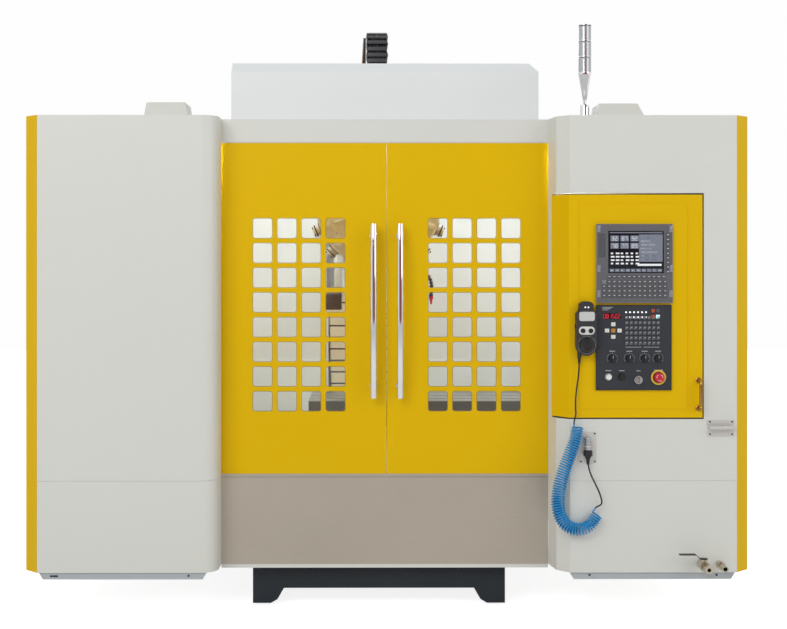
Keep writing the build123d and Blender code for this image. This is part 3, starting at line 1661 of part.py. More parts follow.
nodes = {
    "bed_casting": bed_casting(),
    "leveling_feet": leveling_feet(),
    "column_casting": column_casting(),
    "linear_rails": linear_rails(),
    "feed_motors": feed_motors(),
    "y_ball_screw": y_ball_screw(),
    "z_ball_screw": z_ball_screw(),
    "saddle_casting": saddle_casting() + [x_feed_motor()],
    "x_ball_screw": x_ball_screw(),
    "work_table": work_table(),
    "head_casting": head_casting(),
    "spindle_shaft": spindle_shaft(),
    "y_way_covers": y_way_covers(),
    "x_way_covers": x_way_covers(),
    "z_way_cover": z_way_cover(),
    "z_cable_chain": z_cable_chain(),
    "magazine_bracket": magazine_bracket(),
    "magazine_disc": magazine_disc(),
    "splash_guards": splash_guards(),
    "enclosure_frame": enclosure_frame(),
    "left_wing_panel": left_wing_panel(),
    "right_wing_panel": right_wing_panel(),
    "skirt_panels": skirt_panels(),
    "corner_trims": corner_trims(),
    "header_panel": header_panel(),
    "apron_panel": apron_panel(),
    "left_door": sliding_door(-1),
    "right_door": sliding_door(1),
    "left_door_glass": door_glass(-1),
    "right_door_glass": door_glass(1),
    "left_door_handle": door_handle(-1),
    "right_door_handle": door_handle(1),
    "enclosure_panels": enclosure_panels(),
    "top_hood": top_hood(),
    "console_door": console_door(),
    "display_unit": display_unit(),
    "operator_panel": operator_panel(),
    "mode_knob": rotary_knob(knob_positions_x[0]),
    "feed_knob": rotary_knob(knob_positions_x[1]),
    "rapid_knob": rotary_knob(knob_positions_x[2]),
    "spindle_knob": rotary_knob(knob_positions_x[3]),
    "start_button": push_button(start_button_x),
    "hold_button": push_button(hold_button_x),
    "key_switch": key_switch(),
    "estop_button": estop_button(),
    "pendant_body": pendant_body(),
    "handwheel": handwheel(),
    "axis_selector": selector(selector_positions_x[0]),
    "step_selector": selector(selector_positions_x[1]),
    "cord_top": cord_tube(upper_route, cord_radius),
    "cord_coil": cord_tube(coil_route, coil_radius),
    "cord_bottom": cord_tube(lower_route, cord_radius),
    "cord_plug": cord_plug(),
    "wall_fittings": wall_fittings(),
    "coolant_fittings": coolant_fittings(),
    "valve_lever": valve_lever(),
    "signal_tower": signal_tower(),
    "electrical_cabinet": electrical_cabinet(),
    "cabinet_door": cabinet_door(),
    "coolant_tank": coolant_tank(),
}

os.makedirs("parts", exist_ok=True)
for name, shape in nodes.items():
    whole = Compound(children=shape) if isinstance(shape, list) else shape
    export_step(whole, f"parts/{name}.step")
print(len(nodes), "nodes")
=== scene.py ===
import functools
import json
import math
import random

import bmesh
import bpy
from mathutils import Matrix, Vector


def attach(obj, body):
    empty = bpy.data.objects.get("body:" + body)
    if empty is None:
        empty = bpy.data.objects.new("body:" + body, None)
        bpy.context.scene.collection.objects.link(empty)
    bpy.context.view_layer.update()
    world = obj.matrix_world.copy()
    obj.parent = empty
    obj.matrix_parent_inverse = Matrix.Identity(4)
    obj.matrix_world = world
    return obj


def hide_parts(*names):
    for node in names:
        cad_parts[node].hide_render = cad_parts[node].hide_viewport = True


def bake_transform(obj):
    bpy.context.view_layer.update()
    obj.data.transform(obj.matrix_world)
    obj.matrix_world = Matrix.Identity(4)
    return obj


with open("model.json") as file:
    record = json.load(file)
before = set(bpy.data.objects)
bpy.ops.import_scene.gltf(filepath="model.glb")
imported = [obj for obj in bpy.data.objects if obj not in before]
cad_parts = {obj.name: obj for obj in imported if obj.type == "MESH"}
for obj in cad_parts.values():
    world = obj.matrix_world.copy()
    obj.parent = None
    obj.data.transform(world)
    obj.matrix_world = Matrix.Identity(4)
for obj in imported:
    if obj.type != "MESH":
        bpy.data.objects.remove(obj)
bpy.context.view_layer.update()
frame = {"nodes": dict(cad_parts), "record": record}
nodes = frame["nodes"]
random.seed(11)

# Lengths below are millimetres; depth is measured backwards from the wing fronts.
MM = 0.001
FRONT_Y = -1.025
AXIS_X = -30


def at(x, depth, z):
    """Point in metres in the frame of the part."""
    return Vector((x * MM, FRONT_Y + depth * MM, z * MM))


# Camera, world and lights

camera_data = bpy.data.cameras.new("camera")
camera_data.lens = 56.47
camera_data.sensor_width = 36
camera_data.shift_x = 0.0283
camera_data.shift_y = -0.0628
camera = bpy.data.objects.new("camera", camera_data)
camera.location = (-0.0802, -5.7521, 1.3602)
camera.rotation_euler = (math.radians(90), 0, -0.0039)
bpy.context.scene.collection.objects.link(camera)
bpy.context.scene.camera = camera
bpy.context.scene.view_settings.view_transform = "Standard"


def linear(red, green, blue):
    """Scene colour of an sRGB colour given from 0 to 255."""
    def channel(value):
        value /= 255
        return value / 12.92 if value <= 0.04045 else ((value + 0.055) / 1.055) ** 2.4
    return (channel(red), channel(green), channel(blue), 1.0)


class Tree:
    """A node tree, with short ways to fill it."""

    def __init__(self, tree):
        self.tree = tree

    def node(self, kind, **values):
        node = self.tree.nodes.new("ShaderNode" + kind)
        for key, value in values.items():
            setattr(node, key, value)
        return node

    def fill(self, socket, source):
        """A socket set to a number or colour, or linked to another socket."""
        if isinstance(source, bpy.types.NodeSocket):
            self.tree.links.new(source, socket)
        else:
            socket.default_value = source

    def feed(self, node, **sources):
        """Sockets of a node, filled by name."""
        for name, source in sources.items():
            self.fill(node.inputs[name.replace("_", " ")], source)

    def join(self, node, sources):
        """The first sockets of a node, filled in their order."""
        for socket, source in zip(node.inputs, sources):
            self.fill(socket, source)
        return node.outputs[0]

    def math(self, operation, *sources):
        return self.join(self.node("Math", operation=operation), sources)

    def spread(self, value, low, high, start=0.3, end=0.7):
        """The value stretched from one span to another."""
        node = self.node("MapRange")
        self.feed(node, Value=value, From_Min=start, From_Max=end, To_Min=low, To_Max=high)
        return node.outputs["Result"]

    def mix(self, factor, first, second):
        """Two colours mixed."""
        node = self.node("Mix", data_type="RGBA")
        self.feed(node, Factor=factor)
        colours = [socket for socket in node.inputs if socket.type == "RGBA"]
        for socket, source in zip(colours, (first, second)):
            self.fill(socket, source)
        return [socket for socket in node.outputs if socket.type == "RGBA"][0]


def make_world(light_strength, backdrop_strength, mirror_dark):
    """Even light all around, a pale backdrop, and the dim room with something red that mirrors reflect."""
    world = bpy.data.worlds.new("studio")
    bpy.context.scene.world = world
    world.use_nodes = True
    world.node_tree.nodes.clear()
    tree = Tree(world.node_tree)
    path = tree.node("LightPath").outputs
    seen = tree.math("MAXIMUM", path["Is Camera Ray"], path["Is Glossy Ray"])
    seen = tree.math("MAXIMUM", seen, path["Is Transmission Ray"])
    parts = tree.node("SeparateXYZ")
    tree.join(parts, [tree.node("TexCoord").outputs["Generated"]])
    ahead = tree.spread(parts.outputs["Y"], mirror_dark, 0, -0.8, -0.5)
    dimmed = tree.math("MULTIPLY", ahead, path["Is Glossy Ray"])
    aside = tree.math("DIVIDE", parts.outputs["X"], tree.math("MULTIPLY", parts.outputs["Y"], -1.0))
    band = tree.math("COMPARE", aside, 0.25, 0.45)
    red = tree.math("MULTIPLY", tree.math("MULTIPLY", band, dimmed), 1.3)
    tone = tree.mix(red, (0.97, 0.97, 0.97, 1), (0.9, 0.03, 0.05, 1))
    lights = tree.join(tree.node("Background"), ((1, 1, 1, 1), light_strength))
    backdrop = tree.join(tree.node("Background"), (tone, tree.math("SUBTRACT", backdrop_strength, dimmed)))
    both = tree.join(tree.node("MixShader"), (seen, lights, backdrop))
    tree.feed(tree.node("OutputWorld"), Surface=both)


def area_light(name, place, target, size, energy, colour=(1, 1, 1)):
    """Rectangular lamp aimed at a point."""
    data = bpy.data.lights.new(name, "AREA")
    data.shape = "RECTANGLE"
    data.size = size[0]
    data.size_y = size[1]
    data.energy = energy
    data.color = colour
    light = bpy.data.objects.new(name, data)
    light.location = place
    aim = Vector(target) - Vector(place)
    light.rotation_euler = aim.to_track_quat("-Z", "Y").to_euler()
    bpy.context.scene.collection.objects.link(light)


make_world(light_strength=0.53, backdrop_strength=1.02, mirror_dark=0.7)
area_light("key_light", (-2.6, -6.2, 4.2), (0, 0, 1.0), (3.5, 2.5), 120)
area_light("fill_light", (4.2, -4.6, 3.0), (0, 0, 1.0), (3.0, 2.5), 45)
area_light("rear_light", (1.0, 5.5, 4.5), (0, 0, 1.0), (4.0, 2.5), 110)
for side, lamp_x in (("left", -0.9), ("right", 0.9)):
    area_light(f"{side}_work_light", (lamp_x, -0.80, 1.845), (lamp_x * 0.5, -0.35, 0.9), (0.38, 0.05), 8)
area_light("chamber_light", (-0.03, -0.45, 1.90), (-0.03, -0.45, 0.6), (1.6, 0.5), 17, (0.86, 0.9, 1.0))


# Materials


class Graph(Tree):
    """Node tree of one procedural material."""

    def __init__(self, name, material=None):
        self.material = material or bpy.data.materials.new(name)
        self.material.name = name
        self.material.use_nodes = True
        super().__init__(self.material.node_tree)
        self.shader = self.tree.nodes["Principled BSDF"]
        self.place = self.node("TexCoord").outputs["Object"]

    def shade(self, **sources):
        """Sockets of the material's shader."""
        self.feed(self.shader, **sources)

    def noise(self, scale, stretch=(1, 1, 1), detail=3.0):
        """Noise in space, finer along an axis with a larger stretch."""
        mapping = self.node("Mapping")
        self.feed(mapping, Vector=self.place, Scale=stretch)
        noise = self.node("TexNoise")
        self.feed(noise, Vector=mapping.outputs[0], Scale=scale, Detail=detail)
        return noise.outputs["Fac"]

    def fold(self, operation, values):
        """The values joined by one operation."""
        return functools.reduce(lambda found, value: self.math(operation, found, value), values)

    def bump(self, height, distance, strength=0.5, **normal):
        """Relief of a height in the shading."""
        node = self.node("Bump")
        self.feed(node, Strength=strength, Distance=distance, Height=height, **normal)
        return node.outputs["Normal"]


def tint(colour, factor):
    """The colour made lighter or darker."""
    return tuple(min(1.0, channel * factor) for channel in colour[:3]) + (1.0,)


def surface(name, colour, rough, metal=0.0, patches=1.2, vary=0.03, grain=700, depth=0.00006,
            stretch=(1, 1, 1), rough_spread=0.05, coat=0.0, sheen=0.5):
    """Material with broad tone patches, fine grain in its relief and an uneven gloss."""
    graph = Graph(name)
    tones = tint(linear(*colour), 1 - vary), tint(linear(*colour), 1 + vary)
    broad = graph.mix(graph.spread(graph.noise(patches), 0, 1), *tones)
    fine = graph.noise(grain, stretch, 2.0)
    speck = graph.mix(graph.spread(fine, 0, 1, 0.35, 0.65), *tones)
    patchy = graph.noise(patches * 9, stretch, 4.0)
    gloss = graph.spread(patchy, rough - rough_spread, rough + rough_spread)
    graph.shade(Base_Color=graph.mix(0.4, broad, speck), Roughness=gloss, Normal=graph.bump(fine, depth),
                Metallic=metal, Coat_Weight=coat, Coat_Roughness=0.15, Specular_IOR_Level=sheen)
    return graph.material


def glowing(name, colour, strength):
    """Lit surface, such as a lamp lens or a digit."""
    graph = Graph(name)
    colour = linear(*colour)
    mixed = graph.mix(graph.spread(graph.noise(900), 0, 1), tint(colour, 0.92), colour)
    graph.shade(Base_Color=mixed, Emission_Color=mixed, Emission_Strength=strength, Roughness=0.4)
    return graph.material


def clear_glass(name):
    """Laminated glass with a faint green tint and a few wipe marks in its gloss."""
    graph = Graph(name)
    wipes = graph.noise(5, (1, 1, 3), 5.0)
    graph.shade(Roughness=graph.spread(wipes, 0.0, 0.05), Base_Color=(0.97, 0.99, 0.975, 1),
                Transmission_Weight=1.0, IOR=1.45)
    return graph.material


paints = {
    "white_paint": surface("white_enamel", (222, 223, 217), 0.42, vary=0.015, grain=420, depth=0.00005),
    # Hood enamel: lighter and cooler than the panels' white; the extra lightness is painted light that makes
    # up for the weaker light on top
    "hood_paint": surface("hood_enamel_painted_light", (240, 243, 244), 0.4, vary=0.012, grain=420, depth=0.00005),
    "yellow_paint": surface("yellow_enamel", (232, 188, 0), 0.38, vary=0.02, grain=420, depth=0.00005,
                            sheen=0.12),
    "stainless": surface("brushed_sheet", (188, 181, 168), 0.42, 0.55, 2.0, 0.05, 160, 0.00003, (0.12, 1, 6)),
    "bed_iron": surface("dark_casting", (42, 48, 54), 0.5, 0.0, 4.0, 0.12, 130, 0.0005, sheen=0.25),
    "light_iron": surface("pale_casting", (216, 217, 211), 0.5, 0.0, 4.0, 0.03, 130, 0.0004),
    "ground_iron": surface("milled_iron", (150, 149, 144), 0.36, 0.85, 5.0, 0.08, 500, 0.00003, (1, 8, 1)),
    "steel": surface("ground_steel", (196, 196, 196), 0.22, 1.0, 6.0, 0.05, 600, 0.00001, (1, 1, 12)),
    "chrome": surface("polished_chrome", (226, 226, 228), 0.07, 1.0, 6.0, 0.03, 900, 0.000004,
                      rough_spread=0.03),
    "black_motor": surface("motor_enamel", (38, 39, 42), 0.45, 0.0, 6.0, 0.1, 300, 0.0002),
    "chain_plastic": surface("chain_nylon", (66, 67, 70), 0.5, 0.0, 9.0, 0.12, 500, 0.0002),
    "safety_glass": clear_glass("laminated_glass"),
    "bezel_gray": surface("bezel_plastic", (98, 99, 104), 0.5, 0.0, 8.0, 0.05, 1500, 0.00004),
    "panel_gray": surface("panel_membrane", (56, 60, 66), 0.48, 0.0, 8.0, 0.06, 1500, 0.00004, sheen=0.25),
    "knob_black": surface("knob_plastic", (30, 31, 33), 0.4, 0.0, 20.0, 0.1, 1500, 0.00004),
    "button_white": surface("white_plastic", (235, 235, 230), 0.3, 0.0, 20.0, 0.02, 1500, 0.00002),
    "estop_red": surface("red_plastic", (206, 30, 52), 0.3, 0.0, 20.0, 0.05, 1500, 0.00002),
    "pendant_black": surface("pendant_shell", (44, 46, 50), 0.52, 0.0, 15.0, 0.08, 1200, 0.0001),
    "cord_black": surface("cord_jacket", (30, 30, 31), 0.5, 0.0, 30.0, 0.1, 1500, 0.00005),
    "cord_blue": surface("coil_jacket", (18, 142, 206), 0.26, 0.0, 30.0, 0.16, 1200, 0.00005, coat=0.3),
    "valve_brass": surface("nickel_brass", (196, 188, 168), 0.28, 1.0, 30.0, 0.08, 900, 0.00003),
    "tower_silver": surface("lamp_silver", (216, 217, 218), 0.25, 0.4, 10.0, 0.04, 900, 0.00003),
    "cabinet_gray": surface("cabinet_enamel", (208, 209, 205), 0.45, 0.0, 1.6, 0.02, 420, 0.00006),
    "tank_gray": surface("tank_enamel", (150, 153, 155), 0.48, 0.0, 2.0, 0.04, 420, 0.00007),
}
slot_of = {row["node"]: row["material_slot"] for row in frame["record"]["subparts"]}
for name, node in nodes.items():
    for place in node.material_slots:
        place.material = paints[slot_of[name]]


# Mesh building


def around(middle, half):
    """Span of a length around its middle."""
    return (middle - half, middle + half)


def circle(count, offset=0.0):
    """Angles of equal steps around a circle."""
    return [2 * math.pi * (index + offset) / count for index in range(count)]


def polar(center, radius, angle):
    """Point on a circle."""
    return (center[0] + radius * math.cos(angle), center[1] + radius * math.sin(angle))


def box_outline(low_u, high_u, low_v, high_v, radius, steps=6):
    """Rectangle with round corners, as a closed list of points."""
    points = []
    for turn, (u, v) in enumerate(((high_u, high_v), (low_u, high_v), (low_u, low_v), (high_u, low_v))):
        side_u = -1 if u == high_u else 1
        side_v = -1 if v == high_v else 1
        for step in range(steps + 1):
            angle = math.pi / 2 * (turn + step / steps)
            center = (u + side_u * radius, v + side_v * radius)
            points.append((center[0] + radius * math.cos(angle), center[1] + radius * math.sin(angle)))
    return points


def travelling_frames(points):
    """Tangent and two side directions at each point, turned as little as possible."""
    frames = []
    side = None
    for index, point in enumerate(points):
        before = points[max(index - 1, 0)]
        after = points[min(index + 1, len(points) - 1)]
        along = (after - before).normalized()
        if side is None:
            side = along.orthogonal().normalized()
        side = (side - along * side.dot(along)).normalized()
        frames.append((along, side, along.cross(side)))
    return frames


class Shape:
    """Solids of one piece, collected in one mesh."""

    def __init__(self):
        self.mesh = bmesh.new()

    def block(self, xs, depths, zs, bevel=0.0, segments=2, turn=None):
        """Box between two values along each axis, turned about its middle."""
        size = [(span[1] - span[0]) * MM for span in (xs, depths, zs)]
        center = at(sum(xs) / 2, sum(depths) / 2, sum(zs) / 2)
        verts = bmesh.ops.create_cube(self.mesh, size=1.0)["verts"]
        matrix = Matrix.Translation(center) @ (turn or Matrix.Identity(4)) @ Matrix.Diagonal((*size, 1))
        bmesh.ops.transform(self.mesh, matrix=matrix, verts=verts)
        if bevel:
            edges = list({edge for vert in verts for edge in vert.link_edges})
            bmesh.ops.bevel(self.mesh, geom=edges, offset=bevel * MM, segments=segments, profile=0.5,
                            affect="EDGES", clamp_overlap=True)
        return self

    def spoke(self, center, radius, angle, half, depths, bevel=0.0):
        """Block on a circle seen from the front, turned to point outwards."""
        x, z = polar(center, radius, angle)
        turn = Matrix.Rotation(math.pi / 2 - angle, 4, "Y")
        return self.block(around(x, half[0]), depths, around(z, half[1]), bevel, 2, turn)

    def turned(self, profile, place, axis="z", steps=32):
        """Turned solid: pairs of radius and height along an axis. A ring's profile ends where it starts."""
        directions = {
            "z": ((1, 0, 0), (0, 1, 0), (0, 0, 1)),
            "x": ((0, 1, 0), (0, 0, 1), (1, 0, 0)),
            "front": ((1, 0, 0), (0, 0, 1), (0, -1, 0)),
            "back": ((-1, 0, 0), (0, 0, 1), (0, 1, 0)),
        }[axis]
        first, second, along = (Vector(direction) for direction in directions)
        rings = []
        is_ring = profile[0] == profile[-1]
        for radius, height in profile[:-1] if is_ring else profile:
            center = at(*place) + along * height * MM
            if radius == 0:
                rings.append([self.mesh.verts.new(center)])
                continue
            rings.append(self.ring(center, first, second, radius, steps))
        self.join(rings + rings[:1] if is_ring else rings, is_ring)
        return self

    def ring(self, center, first, second, radius, steps):
        """Points around a center, spanned by two directions."""
        offsets = [first * math.cos(angle) + second * math.sin(angle) for angle in circle(steps)]
        return [self.mesh.verts.new(center + offset * radius * MM) for offset in offsets]

    def join(self, rings, closed=False):
        """Faces between rings of points, and over the first and last ring."""
        for low, high in zip(rings, rings[1:]):
            count = max(len(low), len(high))
            for step in range(count):
                after = (step + 1) % count
                if len(low) == 1:
                    self.mesh.faces.new((low[0], high[after], high[step]))
                elif len(high) == 1:
                    self.mesh.faces.new((low[step], low[after], high[0]))
                else:
                    self.mesh.faces.new((low[step], low[after], high[after], high[step]))
        if not closed:
            if len(rings[0]) > 2:
                self.mesh.faces.new(list(reversed(rings[0])))
            if len(rings[-1]) > 2:
                self.mesh.faces.new(rings[-1])

    def prism(self, outline, view, start, end, bevel=0.0, segments=2):
        """Outline drawn from the front (x, z), in plan (x, depth) or from the side (depth, z)."""
        def place(u, v, w):
            return {"front": (u, w, v), "plan": (u, v, w), "side": (w, u, v)}[view]
        rings = [[self.mesh.verts.new(at(*place(u, v, w))) for u, v in outline] for w in (start, end)]
        self.join(rings)
        if bevel:
            edges = []
            for ring in rings:
                members = set(ring)
                edges += [edge for vert in ring for edge in vert.link_edges
                          if edge.verts[0] in members and edge.verts[1] in members]
            bmesh.ops.bevel(self.mesh, geom=list(set(edges)), offset=bevel * MM, segments=segments,
                            profile=0.5, affect="EDGES", clamp_overlap=True)
        return self

    def tube(self, points, radius, sides=10):
        """Round bar through points in metres."""
        rings = []
        for point, (_, first, second) in zip(points, travelling_frames(points)):
            rings.append(self.ring(point, first, second, radius, sides))
        self.join(rings)
        return self

    def fluted(self, profile, center, face, steps, flutes, deep, heights):
        """Turned front seen from ahead, fluted between two heights. A negative depth starts with a ridge."""
        rings = []
        for radius, height in profile:
            ring = []
            for angle in circle(steps):
                wave = abs(deep) + deep * math.cos(flutes * angle)
                x, z = polar(center, radius - (wave if heights[0] < height < heights[1] else 0), angle)
                ring.append(self.mesh.verts.new(at(x, face - height, z)))
            rings.append(ring)
        self.join(rings)

    def piece(self, name, body, slot, material=None, replaces=(), angle=32):
        """The finished piece, riding on a body."""
        bmesh.ops.recalc_face_normals(self.mesh, faces=self.mesh.faces)
        data = bpy.data.meshes.new(name)
        self.mesh.to_mesh(data)
        self.mesh.free()
        for polygon in data.polygons:
            polygon.use_smooth = True
        data.set_sharp_from_angle(angle=math.radians(angle))
        data.materials.append(material or paints[slot])
        piece = bpy.data.objects.new(name, data)
        bpy.context.scene.collection.objects.link(piece)
        if body:
            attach(piece, body)
        if replaces:
            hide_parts(*replaces)
        return piece


def bolt_heads(shape, places, face_depth, radius=5, height=3):
    """Round screw heads with a socket, on a face seen from the front."""
    for x, z in places:
        profile = [(radius, 0), (radius, height - 0.8), (radius - 0.8, height), (radius * 0.5, height),
                   (radius * 0.5, height - 1.6), (0, height - 1.6)]
        shape.turned(profile, (x, face_depth, z), "front", 16)


# Pendant cord

cord_route = [
    (731, -26, 1009),
    (731, -26, 974),
    (727, -26.5, 930),
    (720, -27, 886),
    (716, -28, 842),
    (717, -28, 800),
    (721, -28, 762),
    (725, -28, 724),
    (709, -28, 676),
    (689, -28, 622),
    (670, -28, 570),
    (655, -28, 516),
    (648, -28, 462),
    (654, -28, 408),
    (682, -28, 364),
    (728, -28, 350),
    (774, -28, 366),
    (810, -28, 429),
    (819, -28, 445),
    (815, -28, 470),
    (806, -27.5, 498),
    (790, -26, 530),
    (775, -24, 562),
    (765, -22, 594),
    (765, -22, 624),
]
CORD_RADIUS = 3
PLUG = (765, -22)
PENDANT_CORD = (731, -26)
COIL_RADIUS = 23.5
COIL_PITCH = 9.5
COIL_TOP = (721, -28, 758)
COIL_BOTTOM = (807, -28, 423)
COIL_LEAD = 40
COIL_BEND = 17
POINTS_PER_TURN = 14


def smooth_line(route):
    """Points of the NURBS spline over a route."""
    curve = bpy.data.curves.new("route", "CURVE")
    curve.dimensions = "3D"
    curve.resolution_u = 24
    spline = curve.splines.new("NURBS")
    spline.points.add(len(route) - 1)
    for point, place in zip(spline.points, route):
        point.co = (*at(*place), 1)
    spline.order_u = 3
    spline.use_endpoint_u = True
    holder = bpy.data.objects.new("route", curve)
    bpy.context.scene.collection.objects.link(holder)
    mesh = bpy.data.meshes.new_from_object(holder)
    points = [vert.co.copy() for vert in mesh.vertices]
    bpy.data.objects.remove(holder)
    bpy.data.curves.remove(curve)
    bpy.data.meshes.remove(mesh)
    return points


def evenly(points, spacing):
    """The same line as points a fixed distance apart."""
    even = [points[0].copy()]
    left = spacing
    for start, end in zip(points, points[1:]):
        span = (end - start).length
        travelled = 0.0
        while span - travelled >= left:
            travelled += left
            even.append(start.lerp(end, travelled / span))
            left = spacing
        left -= span - travelled
    even.append(points[-1].copy())
    return even


def coiled_path(route):
    """The cord's line: straight ends, and a helix around the route's middle part."""
    spacing = COIL_PITCH * MM / POINTS_PER_TURN
    line = evenly(smooth_line(route), spacing)
    frames = travelling_frames(line)
    ends = []
    for place in (COIL_TOP, COIL_BOTTOM):
        nearest = min(range(len(line)), key=lambda index: (line[index] - at(*place)).length)
        ends.append(nearest * spacing)
    full_rate = 2 * math.pi / (COIL_PITCH * MM)
    radius = COIL_RADIUS * MM
    lead = COIL_LEAD * MM
    path = []
    angle = 0.0
    for index, (point, (_, first, second)) in enumerate(zip(line, frames)):
        run = index * spacing
        inside = min(run - ends[0], ends[1] - run)
        if inside <= -lead:
            if index % POINTS_PER_TURN == 0 or index == len(line) - 1:
                path.append((point, False))
            continue
        ease = min(1.0, 1 + inside / lead)
        share = min(1.0, max(0.0, (run - ends[0]) / (ends[1] - ends[0])))
        swell = 0.76 + 0.24 * max(0.0, math.sin(math.pi * share)) ** 0.6
        if inside > 0:
            lean = min(inside / (COIL_BEND * MM), 0.9999)
            angle += spacing * min(full_rate, math.tan(math.asin(lean)) / radius)
        reach = radius * swell * ease * ease * (3 - 2 * ease)
        if inside > 0 or index % 4 == 0:
            path.append((point + (first * math.cos(angle) + second * math.sin(angle)) * reach, inside > 0))
    return path


cord_path = coiled_path(cord_route)
cord_points = [point for point, _ in cord_path]
CORD_SIDES = 8
cord = Shape().tube(cord_points, CORD_RADIUS, CORD_SIDES).piece(
    "pendant_cord", None, "cord_blue", replaces=("cord_top", "cord_coil", "cord_bottom"))
cord.data.materials.append(paints["cord_black"])
for polygon in cord.data.polygons:
    if len(polygon.vertices) == 4:
        section = min(polygon.vertices) // CORD_SIDES
        polygon.material_index = 0 if cord_path[section][1] else 1
    else:
        polygon.material_index = 1
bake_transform(cord)

profile = [(0, 0), (9, 0), (11, 2), (11.5, 7), (15.5, 8), (17, 10), (17, 26), (15.5, 28), (13, 29), (13, 31)]
profile.append((0, 31))
plug = Shape().turned(profile, (*PLUG, 624), "z", 40)
for angle in circle(20):
    x, depth = polar(PLUG, 16.4, angle)
    plug.block(around(x, 0.6), around(depth, 1), (635, 649), turn=Matrix.Rotation(angle, 4, "Z"))
plug = plug.piece("plug_shell", "frame", "knob_black", paints["cord_black"], ("cord_plug",))
relief = Shape().turned([(0, 0), (4.2, 0), (5, 1), (6.2, 12), (6.2, 13), (7.8, 22), (9, 26), (0, 26)],
                        (*PLUG, 599), "z", 24)
relief = relief.piece("plug_relief", "frame", "cord_black")
profile = [(0, 0), (4.2, 0), (4.8, 1), (6, 16), (7.4, 28), (8, 34), (0, 34)]
gland = Shape().turned(profile, (*PENDANT_CORD, 985), "z", 24)
gland = gland.piece("pendant_relief", "console", "cord_black")


# Floor


def pale_floor():
    """Matte floor that keeps shadows and looks nearly white to the eye, and plainer in mirrors."""
    graph = Graph("pale_floor")
    tone = graph.mix(graph.spread(graph.noise(40), 0, 1), (0.8, 0.8, 0.8, 1), (0.83, 0.83, 0.83, 1))
    graph.shade(Base_Color=tone, Roughness=0.9)
    path = graph.node("LightPath").outputs
    strength = graph.math("MULTIPLY_ADD", path["Is Glossy Ray"], 0.2, path["Is Camera Ray"])
    glow = graph.join(graph.node("Emission"), ((0.85, 0.85, 0.85, 1), strength))
    both = graph.join(graph.node("AddShader"), (graph.shader.outputs[0], glow))
    graph.feed(graph.tree.nodes["Material Output"], Surface=both)
    return graph.material


floor = bpy.data.objects.new("floor", bpy.data.meshes.new("floor"))
floor.data.from_pydata([(-14, -14, 0), (14, -14, 0), (14, 14, 0), (-14, 14, 0)], [], [(0, 1, 2, 3)])
floor.data.materials.append(pale_floor())
bpy.context.scene.collection.objects.link(floor)


# Console


def lit_digit(shape, x, z, width, height, depth, segments):
    """Seven-segment digit of thin bars, with its lower left corner at x, z."""
    bar = width * 0.16
    middle = z + height / 2
    places = {
        "a": ((x + bar, x + width - bar), (z + height - bar, z + height)),
        "b": ((x + width - bar, x + width), (middle + bar / 2, z + height - bar)),
        "c": ((x + width - bar, x + width), (z + bar, middle - bar / 2)),
        "d": ((x + bar, x + width - bar), (z, z + bar)),
        "e": ((x, x + bar), (z + bar, middle - bar / 2)),
        "f": ((x, x + bar), (middle + bar / 2, z + height - bar)),
        "g": ((x + bar, x + width - bar), around(middle, bar / 2)),
    }
    for segment in segments:
        xs, zs = places[segment]
        shape.block(xs, (depth - 0.3, depth), zs)


DIGITS = ("abcdef", "bc", "abged", "abgcd", "fgbc", "afgcd", "afgedc", "abc", "abcdefg", "abcdfg")
DISPLAY_FRONT = -16
PANEL_FRONT = -12
SCREEN_X = (843.5, 1056.5)
SCREEN_Z = (1329, 1491)

key_dark = surface("key_dark", (84, 87, 92), 0.45, 0.0, 30, 0.1, 1500, 0.00003)
key_gray = surface("key_gray", (128, 130, 134), 0.45, 0.0, 30, 0.05, 1500, 0.00003)
key_white = surface("key_white", (232, 232, 226), 0.4, 0.0, 30, 0.02, 1500, 0.00003)
key_orange = surface("key_orange", (196, 132, 60), 0.4, 0.0, 30, 0.04, 1500, 0.00003)
print_white = surface("print_white", (206, 208, 208), 0.5, 0.0, 30, 0.03, 1500, 0.00002)
screen_black = surface("screen_glass", (26, 29, 36), 0.16, 0.0, 12, 0.08, 300, 0.000002, sheen=0.2)
screen_light = glowing("screen_light", (206, 210, 214), 0.5)
screen_dim = glowing("screen_dim", (112, 118, 132), 0.3)
red_glow = glowing("red_digits", (235, 40, 60), 0.9)
lamp_glow = glowing("white_lamps", (236, 240, 240), 0.6)
cyan_glow = glowing("cyan_key", (190, 238, 246), 0.6)
rust_glow = glowing("amber_lamps", (150, 62, 38), 0.5)
yellow_ring = surface("ring_yellow", (238, 200, 70), 0.35, 0.0, 30, 0.03, 1500, 0.00002)


def key_caps(name, places, size, front, material, slot, rise=2.9, body="console"):
    """Raised keys with soft edges, over the panel's plain keys."""
    shape = Shape()
    for x, z in places:
        xs = (x - size[0] / 2, x + size[0] / 2)
        zs = (z - size[1] / 2, z + size[1] / 2)
        shape.block(xs, (front - rise, front + 0.5), zs, 1.1, 2)
    return shape.piece(name, body, slot, material)


def grid(start_x, pitch_x, columns, start_z, pitch_z, rows):
    """Places in rows and columns, row by row from the lowest."""
    return [(start_x + pitch_x * column, start_z + pitch_z * row)
            for row in range(rows) for column in range(columns)]


side_keys = grid(1071.5, 0, 1, 1335, 17.6, 9)
row_keys = grid(847.5, 18.9, 12, 1315, 0, 1)
keyboard = grid(827.5, 19.4, 13, 1243, 17.6, 4)
white_key = keyboard.pop(13 * 3)
key_caps("soft_keys", side_keys, (13.6, 13.6), DISPLAY_FRONT, key_dark, "bezel_gray")
key_caps("function_keys", row_keys, (14.6, 10.6), DISPLAY_FRONT, key_dark, "bezel_gray")
key_caps("keyboard_keys", keyboard, (15.6, 12.6), DISPLAY_FRONT, key_dark, "bezel_gray")
key_caps("keyboard_white_key", [white_key], (15.6, 15.6), DISPLAY_FRONT, key_gray, "button_white")

